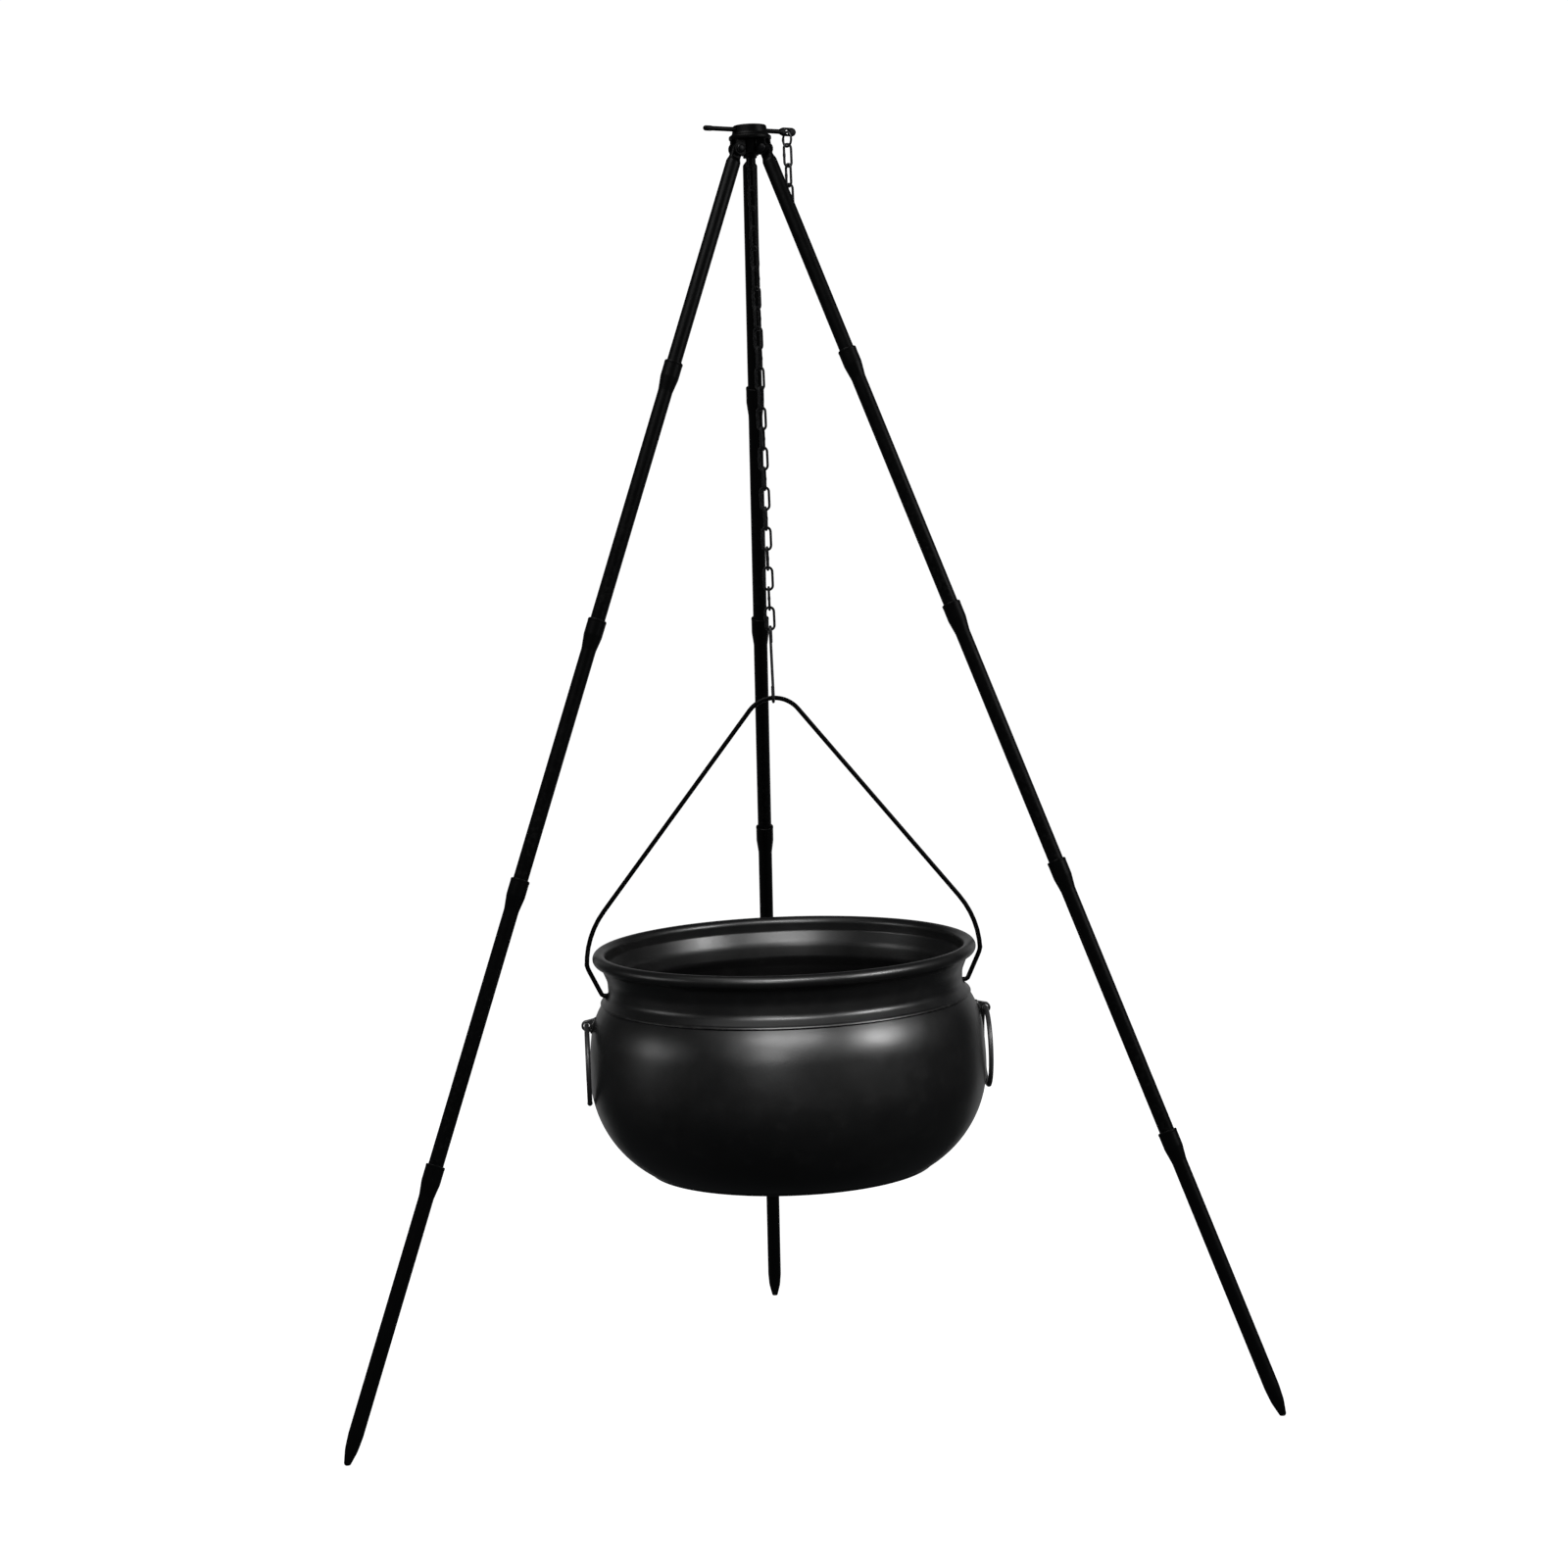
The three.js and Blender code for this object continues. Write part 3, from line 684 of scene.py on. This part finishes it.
def top_section(matrix, end):
    sections = []
    steps = 10
    for k in range(steps + 1):
        h = TONGUE_R * math.cos(math.pi / 2 * k / steps)
        half = TONGUE_R * math.sin(math.pi / 2 * k / steps)
        crown = TONGUE_HALF_THICK * min(1, 0.72 + 0.28 * k / 3)
        sections.append((h, half if k else 0, crown, 3.2))
    sections.append((-TONGUE_LENGTH * 0.75, TONGUE_R, TONGUE_HALF_THICK, 3.2))
    for k in range(1, steps + 1):
        t = k / steps
        ease = t * t * (3 - 2 * t)
        h = -TONGUE_LENGTH * 0.75 - t * 5.5 * MM
        half_x = TONGUE_R + (TUBE_R - TONGUE_R) * ease
        half_y = TONGUE_HALF_THICK + (TUBE_R - TONGUE_HALF_THICK) * ease
        sections.append((h, half_x, half_y, 3.2 - 1.2 * ease))
    lip = rounded([(TUBE_R, end + 5 * MM, 0), (TUBE_R, end, WALL_LIP), (BORE_R, end, WALL_LIP),
                   (BORE_R, end + 5 * MM, 0)])
    sections += [(h, r, r, 2) for r, h in lip]
    bore_top = -TONGUE_LENGTH - 10 * MM
    sections += [(bore_top, BORE_R, BORE_R, 2), (bore_top, 0, 0, 2)]
    leg = raw_object("top", lofted(sections, matrix))
    across = matrix @ Matrix.Rotation(math.pi / 2, 4, "X")
    reach = 4 * TONGUE_HALF_THICK
    combine(leg, turned([(0, -reach), (RIVET_HOLE_R, -reach), (RIVET_HOLE_R, reach), (0, reach)],
                        TUBE_SEGMENTS, across))
    return leg


def middle_section(matrix, end, mouth):
    profile = [(BORE_R, end + 5 * MM, 0), *plain_end(end), *socket(mouth), (BORE_R, end + 5 * MM, 0)]
    return raw_object("middle", turned(rounded(profile)[:-1], TUBE_SEGMENTS, matrix, loop=True))


def foot_section(matrix, tip, mouth):
    """A solid bullet end under a socket. The tip is flattened where it stands."""
    centre = tip + FOOT_TIP_R
    nose = [(FOOT_TIP_R * math.sin(a), centre - FOOT_TIP_R * math.cos(a), 0)
            for a in np.linspace(0, math.radians(68), 9)]
    nose.append((TUBE_R - 0.9 * MM, centre + FOOT_TAPER * 0.45, 30 * MM))
    nose.append((TUBE_R, centre + FOOT_TAPER, 30 * MM))
    bore_low = centre + FOOT_TAPER + 6 * MM
    profile = [*nose, *socket(mouth), (BORE_R, bore_low, 1 * MM), (0, bore_low, 0)]
    foot = raw_object("foot", turned(rounded(profile, 6), TUBE_SEGMENTS, matrix))
    for vertex in foot.data.vertices:
        vertex.co.z = max(vertex.co.z, 0.0)
    return foot


def add_legs():
    for side in SIDES:
        matrix = leg_matrix(side)
        node = f"leg_{side}_1_top"
        dress(top_section(matrix, heights(node, matrix)[0]), node, "leg_paint")
        for number in (2, 3, 4):
            node = f"leg_{side}_{number}"
            end, mouth = heights(node, matrix)
            dress(middle_section(matrix, end, mouth), node, "leg_paint")
        node = f"leg_{side}_5_foot"
        lowest, mouth = heights(node, matrix)
        centre = leg_tip(matrix)
        dress(foot_section(matrix, centre - FOOT_TIP_R, mouth), node, "leg_paint")


def leg_tip(matrix):
    """Height in the leg's frame of the middle of its rounded tip, which stands on the floor."""
    pin_height = matrix.translation.z
    drop = pin_height - (FOOT_TIP_R - 0.8 * MM)
    return -drop / matrix.col[2].z


# ---- hub, rivets and pin -------------------------------------------------

HUB_R = 18 * MM
HUB_BORE_R = 6.8 * MM
PLATE_LOW, PLATE_HIGH = 1058 * MM, 1061.3 * MM
SLEEVE_R = 14 * MM
SLEEVE_TOP = 1070.3 * MM
PIVOT_RADIUS = 13.3 * MM
SKIRT_R, SKIRT_LOW = 7.9 * MM, 1047 * MM
LUG_THICK = 2.6 * MM
LUG_INNER_R = 8.6 * MM
LUG_ROUND_R = 5.6 * MM
LUG_OFFSET = 3.15 * MM
PIN_R = 2 * MM
PIN_NOSE_R = 2.3 * MM
PIN_HALF = 46 * MM
PIN_HOLE_R = 2.6 * MM
PADDLE_LENGTH = 17 * MM
PADDLE_R = 3.7 * MM
PADDLE_HALF_THICK = 1.8 * MM
PADDLE_HOLE_R = 1.9 * MM
PADDLE_HOLE_AT = 37.5 * MM
RIVET_R = 2 * MM
RIVET_HEAD_R = 3.7 * MM
RIVET_HEAD_THICK = 1.8 * MM


def plate_between(outline, thick, matrix):
    """A plate cut to an outline in the XZ plane, standing on both sides of y = 0."""
    half = thick / 2
    verts = [matrix @ Vector((x, y, z)) for y in (-half, half) for x, z in outline]
    count = len(outline)
    faces = [tuple(range(count)), tuple(range(2 * count - 1, count - 1, -1))]
    for i in range(count):
        j = (i + 1) % count
        faces.append((i, j, count + j, count + i))
    return verts, faces


def lug_outline(pin_height):
    top = PLATE_LOW - pin_height + 1 * MM
    inner = LUG_INNER_R - PIVOT_RADIUS
    turn = arc(0, 0, LUG_ROUND_R, -math.pi / 2, math.radians(50), 24)
    return [(inner, top), (inner, -LUG_ROUND_R + 1 * MM), (inner + 1 * MM, -LUG_ROUND_R), *turn,
            (turn[-1][0] - 0.5 * MM, top)]


def add_hub():
    axis = Matrix.Translation((0, HUB_AXIS_Y, 0))
    shell = rounded([
        (HUB_BORE_R, PLATE_LOW + 2 * MM, 0),
        (HUB_BORE_R, PLATE_LOW, 0.5 * MM),
        (HUB_R, PLATE_LOW, 0.8 * MM),
        (HUB_R, PLATE_HIGH - 0.2 * MM, 1 * MM),
        (SLEEVE_R + 1.2 * MM, PLATE_HIGH + 1.6 * MM, 2.5 * MM),
        (SLEEVE_R, SLEEVE_TOP, 1.1 * MM),
        (HUB_BORE_R, SLEEVE_TOP, 0.7 * MM),
        (HUB_BORE_R, PLATE_LOW + 2 * MM, 0),
    ])[:-1]
    hub = raw_object("hub", turned(shell, 96, axis, loop=True))
    skirt = rounded([
        (SKIRT_R, PLATE_LOW + 2 * MM, 0),
        (SKIRT_R, SKIRT_LOW, 0.4 * MM),
        (HUB_BORE_R, SKIRT_LOW, 0.4 * MM),
        (HUB_BORE_R, PLATE_LOW + 2 * MM, 0),
    ])
    combine(hub, turned(skirt, 64, axis, loop=True), "UNION")
    for side in SIDES:
        pin = leg_matrix(side)
        outward = pin.translation - Vector((0, HUB_AXIS_Y, pin.translation.z))
        x_axis = outward.normalized()
        stand = axes_matrix(x_axis, UP.cross(x_axis), UP, pin.translation)
        for sign in (-1, 1):
            shift = Matrix.Translation((0, sign * (LUG_OFFSET + LUG_THICK / 2), 0))
            outline = lug_outline(pin.translation.z)
            combine(hub, plate_between(outline, LUG_THICK, stand @ shift), "UNION")
        hole = stand @ Matrix.Rotation(math.pi / 2, 4, "X")
        reach = 14 * MM
        combine(hub, turned([(0, -reach), (RIVET_HOLE_R, -reach), (RIVET_HOLE_R, reach), (0, reach)],
                            TUBE_SEGMENTS, hole))
    cross = pin_matrix() @ Matrix.Rotation(math.pi / 2, 4, "Y")
    reach = 30 * MM
    combine(hub, turned([(0, -reach), (PIN_HOLE_R, -reach), (PIN_HOLE_R, reach), (0, reach)],
                        TUBE_SEGMENTS, cross))
    melt(hub, 0.42 * MM, 4)
    dress(hub, "hub", "hub_paint")


def add_rivets():
    face = LUG_OFFSET + LUG_THICK + 0.3 * MM
    dome = arc(0, 0, 1, 0, math.pi / 2, 9)
    head = [(RIVET_HEAD_R * c, face + 0.5 * MM + (RIVET_HEAD_THICK - 0.5 * MM) * s) for c, s in dome]
    head[-1] = (0, face + RIVET_HEAD_THICK)
    edge = 0.15 * MM
    lip = [(RIVET_R, face), (RIVET_HEAD_R - edge, face), (RIVET_HEAD_R, face + edge)]
    upper = lip + head
    profile = [(r, -h) for r, h in reversed(upper)] + upper
    for side in SIDES:
        matrix = leg_matrix(side) @ Matrix.Rotation(math.pi / 2, 4, "X")
        piece(f"hinge_rivet_{side}", turned(profile, 40, matrix), "rivet_steel")


def pin_matrix():
    """The locking pin's frame: +X along the pin towards its eye, at the hub's axis."""
    x_axis = Vector(JOINTS["locking_pin_slide"]["axis"]).normalized()
    height = JOINTS["keeper_ring_swing"]["pos_m"][2]
    return axes_matrix(x_axis, UP.cross(x_axis), UP, Vector((0, HUB_AXIS_Y, height)))


def add_locking_pin():
    sections = []
    nose = -PIN_HALF + PIN_NOSE_R
    for k in range(9):
        a = math.pi / 2 * k / 8
        r = PIN_NOSE_R * math.sin(a)
        sections.append((nose - PIN_NOSE_R * math.cos(a), r if k else 0, r, 2))
    sections.append((-PIN_HALF + 7 * MM, PIN_NOSE_R, PIN_NOSE_R, 2))
    sections.append((-PIN_HALF + 8.5 * MM, PIN_R, PIN_R, 2))
    start = PIN_HALF - PADDLE_LENGTH
    sections.append((start - 0.5 * MM, PIN_R, PIN_R, 2))
    for k in range(1, 9):
        t = k / 8
        ease = t * t * (3 - 2 * t)
        half = PIN_R + (PADDLE_R - PIN_R) * ease
        thick = PIN_R + (PADDLE_HALF_THICK - PIN_R) * ease
        sections.append((start + t * 5 * MM, half, thick, 2 + ease))
    centre = PIN_HALF - PADDLE_R
    for k in range(0, 11):
        a = math.pi / 2 * k / 10
        half = PADDLE_R * math.cos(a)
        thick = PADDLE_HALF_THICK * (1 - 0.45 * (k / 10) ** 4)
        sections.append((centre + PADDLE_R * math.sin(a), half if k < 10 else 0, thick, 3))
    # the lofted shape's height runs along the pin, its half x across and upright
    along = pin_matrix() @ Matrix(((0, 0, 1, 0), (0, -1, 0, 0), (1, 0, 0, 0), (0, 0, 0, 1)))
    pin = raw_object("pin", lofted(sections, along, 40))
    eye = pin_matrix() @ Matrix.Translation((PADDLE_HOLE_AT, 0, 0)) @ Matrix.Rotation(math.pi / 2, 4, "X")
    bore = rounded([
        (0, -8 * MM, 0),
        (PADDLE_HOLE_R + 3 * MM, -8 * MM, 0),
        (PADDLE_HOLE_R + 0.8 * MM, -PADDLE_HALF_THICK, 0),
        (PADDLE_HOLE_R, -PADDLE_HALF_THICK + 0.7 * MM, 0.5 * MM),
        (PADDLE_HOLE_R, PADDLE_HALF_THICK - 0.7 * MM, 0.5 * MM),
        (PADDLE_HOLE_R + 0.8 * MM, PADDLE_HALF_THICK, 0),
        (PADDLE_HOLE_R + 3 * MM, 8 * MM, 0),
        (0, 8 * MM, 0),
    ])
    combine(pin, turned(bore, 40, eye))
    dress(pin, "locking_pin", "wire_paint")


# ---- chain, keeper and hook ----------------------------------------------

LINK_WIRE_R = 1.1 * MM
LINK_BEND_R = 3.6 * MM
KEEPER_WIRE_R = 1.0 * MM
HOOK_WIRE_R = 1.25 * MM
HOOK_BEND_R = 4.9 * MM
HOOK_TIP = 13 * MM


def loop_path(node, wire_r):
    """The wire's middle round an upright link, and the middle of one of its long sides."""
    points = node_points(node)
    low, high = points.min(0), points.max(0)
    centre = Vector((low + high) / 2)
    flat_points = points[:, :2] - points[:, :2].mean(0)
    values, vectors = np.linalg.eigh(flat_points.T @ flat_points)
    across = Vector((*vectors[:, 1], 0)).normalized()
    bend = LINK_BEND_R if node != "keeper_ring" else (high[2] - low[2]) / 2 - wire_r
    pull = (high[2] - low[2]) / 2 - wire_r - bend
    path = []
    for start, shift in ((0, pull), (math.pi, -pull)):
        for k in range(13):
            a = start + math.pi * k / 12
            path.append(centre + across * (bend * math.cos(a)) + UP * (shift + bend * math.sin(a)))
    path = even_path(path, 0.9 * MM, closed=True)
    return path, centre + across * bend


def add_links():
    names = [n for n in frame["nodes"] if n.startswith(("chain_link", "keeper_link"))]
    for node in sorted(names):
        path, weld = loop_path(node, LINK_WIRE_R)
        shape = swept(path, LINK_WIRE_R, 16, True, (weld,), 0.22 * MM, 1.5 * MM)
        finish = "chain_black" if node.startswith("chain_link") else "chain_steel"
        piece(node, shape, "chain_steel", finish)
    path, weld = loop_path("keeper_ring", KEEPER_WIRE_R)
    piece("keeper_ring", swept(path, KEEPER_WIRE_R, 16, True, (weld,), 0.2 * MM, 1.3 * MM), "chain_steel")


def add_hook():
    low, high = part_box("s_hook")
    side = (high.y - low.y) / 2 - HOOK_WIRE_R
    y = (high.y + low.y) / 2
    top, bottom = high.z - HOOK_WIRE_R, low.z + HOOK_WIRE_R
    at = lambda sign, z: Vector((0, y + sign * side, z))
    path = bent_path([
        (at(-1, top - HOOK_TIP), 0),
        (at(-1, top), HOOK_BEND_R),
        (at(1, top), HOOK_BEND_R),
        (at(-1, bottom), HOOK_BEND_R),
        (at(1, bottom), HOOK_BEND_R),
        (at(1, bottom + HOOK_TIP), 0),
    ])
    piece("s_hook", swept(even_path(path, 0.9 * MM), HOOK_WIRE_R, 20), "chain_steel")


# ---- bail, pot and rings -------------------------------------------------

BAIL_WIRE_R = 2 * MM
BAIL_SLOPE = math.radians(38.4)
BAIL_APEX_R = 26.4 * MM
BAIL_SHOULDER_R = 75 * MM
BAIL_RIM_BEND_HEIGHT, BAIL_RIM_BEND_R = 366 * MM, 16 * MM
BAIL_EAR_BEND_X, BAIL_EAR_BEND_R = 155.5 * MM, 2.5 * MM
BAIL_END_X = 144 * MM
BAIL_END_DROP = 11 * MM
EAR_HEIGHT = JOINTS["pot_tip"]["pos_m"][2]
POT_TILT = math.radians(4.3)
POT_SEGMENTS = 192
WALL = 2.6 * MM
RIM_R, RIM_HEIGHT, RIM_BEAD = 157.5 * MM, 372.5 * MM, 5.3 * MM
RIDGE_R, RIDGE_LOW, RIDGE_HIGH = 157.2 * MM, 333 * MM, 335.2 * MM
SHOULDER_ARC, SHOULDER_START = 65 * MM, 305 * MM
BELLY_R, BELLY_HEIGHT = 168.8 * MM, 271 * MM
LOWER_ARC, UPPER_ARC = 94 * MM, 270 * MM
POT_BOTTOM = 187.5 * MM
EAR_HOLE_R = 2.5 * MM
RING_WIRE_R = 2.1 * MM
LUG_PIVOT_X, LUG_PIVOT_HEIGHT = 170 * MM, 316 * MM
RING_LUG_THICK, RING_LUG_R, RING_LUG_HOLE_R = 5 * MM, 4.5 * MM, 2.6 * MM


def add_bail():
    low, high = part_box("bail")
    y = (low.y + high.y) / 2
    apex = high.z - BAIL_WIRE_R
    half_width = high.x - BAIL_WIRE_R
    slope = math.tan(BAIL_SLOPE)
    peak = apex + BAIL_APEX_R * (1 / math.sin(BAIL_SLOPE) - 1)
    shoulder = peak - half_width / slope

    def half(sign):
        return [
            (Vector((sign * BAIL_END_X, y, EAR_HEIGHT - BAIL_END_DROP)), 0),
            (Vector((sign * BAIL_END_X, y, EAR_HEIGHT)), 3 * MM),
            (Vector((sign * BAIL_EAR_BEND_X, y, EAR_HEIGHT)), BAIL_EAR_BEND_R),
            (Vector((sign * half_width, y, BAIL_RIM_BEND_HEIGHT)), BAIL_RIM_BEND_R),
            (Vector((sign * half_width, y, shoulder)), BAIL_SHOULDER_R),
        ]

    corners = [*half(-1), (Vector((0, y, peak)), BAIL_APEX_R), *reversed(half(1))]
    path = even_path(bent_path(corners), 2.2 * MM)
    piece("bail", swept(path, BAIL_WIRE_R, 20), "wire_paint")


def pot_matrix():
    origin = Vector(JOINTS["pot_tip"]["pos_m"])
    return Matrix.Translation(origin) @ Matrix.Rotation(POT_TILT, 4, "X")


def shoulder_bend():
    """Where the belly meets its shoulder: the normal's angle there, and the shoulder's centre."""
    angle = math.asin((SHOULDER_START - BELLY_HEIGHT) / UPPER_ARC)
    reach = UPPER_ARC - SHOULDER_ARC
    centre_r = BELLY_R - UPPER_ARC + reach * math.cos(angle)
    return angle, centre_r, BELLY_HEIGHT + reach * math.sin(angle)


def belly(inset, lower_steps, upper_steps):
    """The belly's curve from the base up over its shoulder to the ridge."""
    lower_end = math.asin((BELLY_HEIGHT - POT_BOTTOM - 3 * MM) / LOWER_ARC)
    angle, centre_r, centre_h = shoulder_bend()
    top = math.asin((RIDGE_LOW - centre_h) / SHOULDER_ARC)
    lower = arc(BELLY_R - LOWER_ARC, BELLY_HEIGHT, LOWER_ARC - inset, -lower_end, 0, lower_steps)
    upper = arc(BELLY_R - UPPER_ARC, BELLY_HEIGHT, UPPER_ARC - inset, 0, angle, upper_steps)
    shoulder = arc(centre_r, centre_h, SHOULDER_ARC - inset, angle, top, upper_steps)
    return flat(lower + upper[1:] + shoulder[1:])


def pot_profile():
    foot_r = belly(0, 4, 2)[0][0] - 3 * MM
    bead = arc(RIM_R, RIM_HEIGHT, RIM_BEAD, math.radians(-70), math.radians(190), 30)
    outside = [
        (0, POT_BOTTOM, 0),
        (foot_r * 0.5, POT_BOTTOM, 0),
        (foot_r, POT_BOTTOM, 7 * MM),
        *belly(0, 30, 10),
        (RIDGE_R - 0.3 * MM, RIDGE_LOW + 0.2 * MM, 0.5 * MM),
        (RIDGE_R + 0.4 * MM, RIDGE_LOW + 1.1 * MM, 0.6 * MM),
        (RIDGE_R - 0.2 * MM, RIDGE_HIGH, 0.9 * MM),
        (155.6 * MM, 336.2 * MM, 1 * MM),
        (150.4 * MM, 342 * MM, 7 * MM),
        (150.9 * MM, 353.5 * MM, 18 * MM),
        (155.2 * MM, 364 * MM, 6 * MM),
    ]
    inside = [
        (152.7 * MM, 365.4 * MM, 4 * MM),
        (148.2 * MM, 354.5 * MM, 18 * MM),
        (147.7 * MM, 342 * MM, 7 * MM),
        (152.9 * MM, 334.2 * MM, 3 * MM),
        *reversed(belly(WALL, 24, 8)),
        (foot_r - 1 * MM, POT_BOTTOM + WALL + 1 * MM, 6 * MM),
        (foot_r * 0.5, POT_BOTTOM + WALL + 1 * MM, 0),
        (0, POT_BOTTOM + WALL + 1 * MM, 0),
    ]
    rows = [*outside, *flat(bead), *inside]
    return [(r, h - EAR_HEIGHT) for r, h in rounded(rows, 6)]


def add_pot():
    matrix = pot_matrix()
    pot = raw_object("pot", turned(pot_profile(), POT_SEGMENTS, matrix))
    across = matrix @ Matrix.Rotation(math.pi / 2, 4, "Y")
    reach = 200 * MM
    combine(pot, turned([(0, -reach), (EAR_HOLE_R, -reach), (EAR_HOLE_R, reach), (0, reach)],
                        32, across))
    dress(pot, "pot", "pot_enamel")


def belly_radius(height):
    """The belly's outer radius at its shoulder."""
    _, centre_r, centre_h = shoulder_bend()
    return centre_r + math.sqrt(SHOULDER_ARC**2 - (height - centre_h) ** 2)


def add_ring_lugs():
    """Each lug is a rounded plate with an eye, and a weld bead where it meets the belly."""
    rise = RING_LUG_R + 1.6 * MM
    root = belly_radius(LUG_PIVOT_HEIGHT) - LUG_PIVOT_X - 0.6 * MM
    turn = arc(0, 0, RING_LUG_R, -math.pi / 2, math.pi / 2, 20)
    outline = [(root + 0.9 * MM, -rise), *turn, (root - 0.6 * MM, rise)]
    for side, angle in (("right", 0), ("left", math.pi)):
        stand = pot_matrix() @ Matrix.Rotation(angle, 4, "Z")
        stand = stand @ Matrix.Translation((LUG_PIVOT_X, 0, LUG_PIVOT_HEIGHT - EAR_HEIGHT))
        lug = raw_object("lug", plate_between(outline, RING_LUG_THICK, stand))
        eye = stand @ Matrix.Rotation(math.pi / 2, 4, "X")
        combine(lug, turned([(0, -8 * MM), (RING_LUG_HOLE_R, -8 * MM), (RING_LUG_HOLE_R, 8 * MM),
                             (0, 8 * MM)], 32, eye))
        bead = []
        half = RING_LUG_THICK / 2
        for k in range(28):
            a = 2 * math.pi * k / 28
            c, s = math.cos(a), math.sin(a)
            y = math.copysign(abs(c) ** 0.5, c) * half
            z = math.copysign(abs(s) ** 0.5, s) * rise
            surface = belly_radius(LUG_PIVOT_HEIGHT + z) - LUG_PIVOT_X
            bead.append(stand @ Vector((surface + 0.35 * MM, y, z)))
        combine(lug, swept(bead, 1.0 * MM, 10, True), "UNION")
        melt(lug, 0.35 * MM, 3)
        dress(lug, f"ring_lug_{side}", "pot_enamel")


def add_drop_rings():
    for side in ("right", "left"):
        node = f"drop_ring_{side}"
        low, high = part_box(node)
        centre = (low + high) / 2
        radius = (high.z - low.z) / 2 - RING_WIRE_R
        count = 120
        path = []
        for k in range(count):
            a = 2 * math.pi * k / count
            path.append(centre + radius * Vector((0, math.cos(a), math.sin(a))))
        weld = path[round(count * 0.72)]
        shape = swept(path, RING_WIRE_R, 24, True, (weld,), 0.3 * MM, 2.4 * MM)
        piece(node, shape, "ring_steel")


add_legs()
add_hub()
add_rivets()
add_locking_pin()
add_links()
add_hook()
add_bail()
add_pot()
add_ring_lugs()
add_drop_rings()
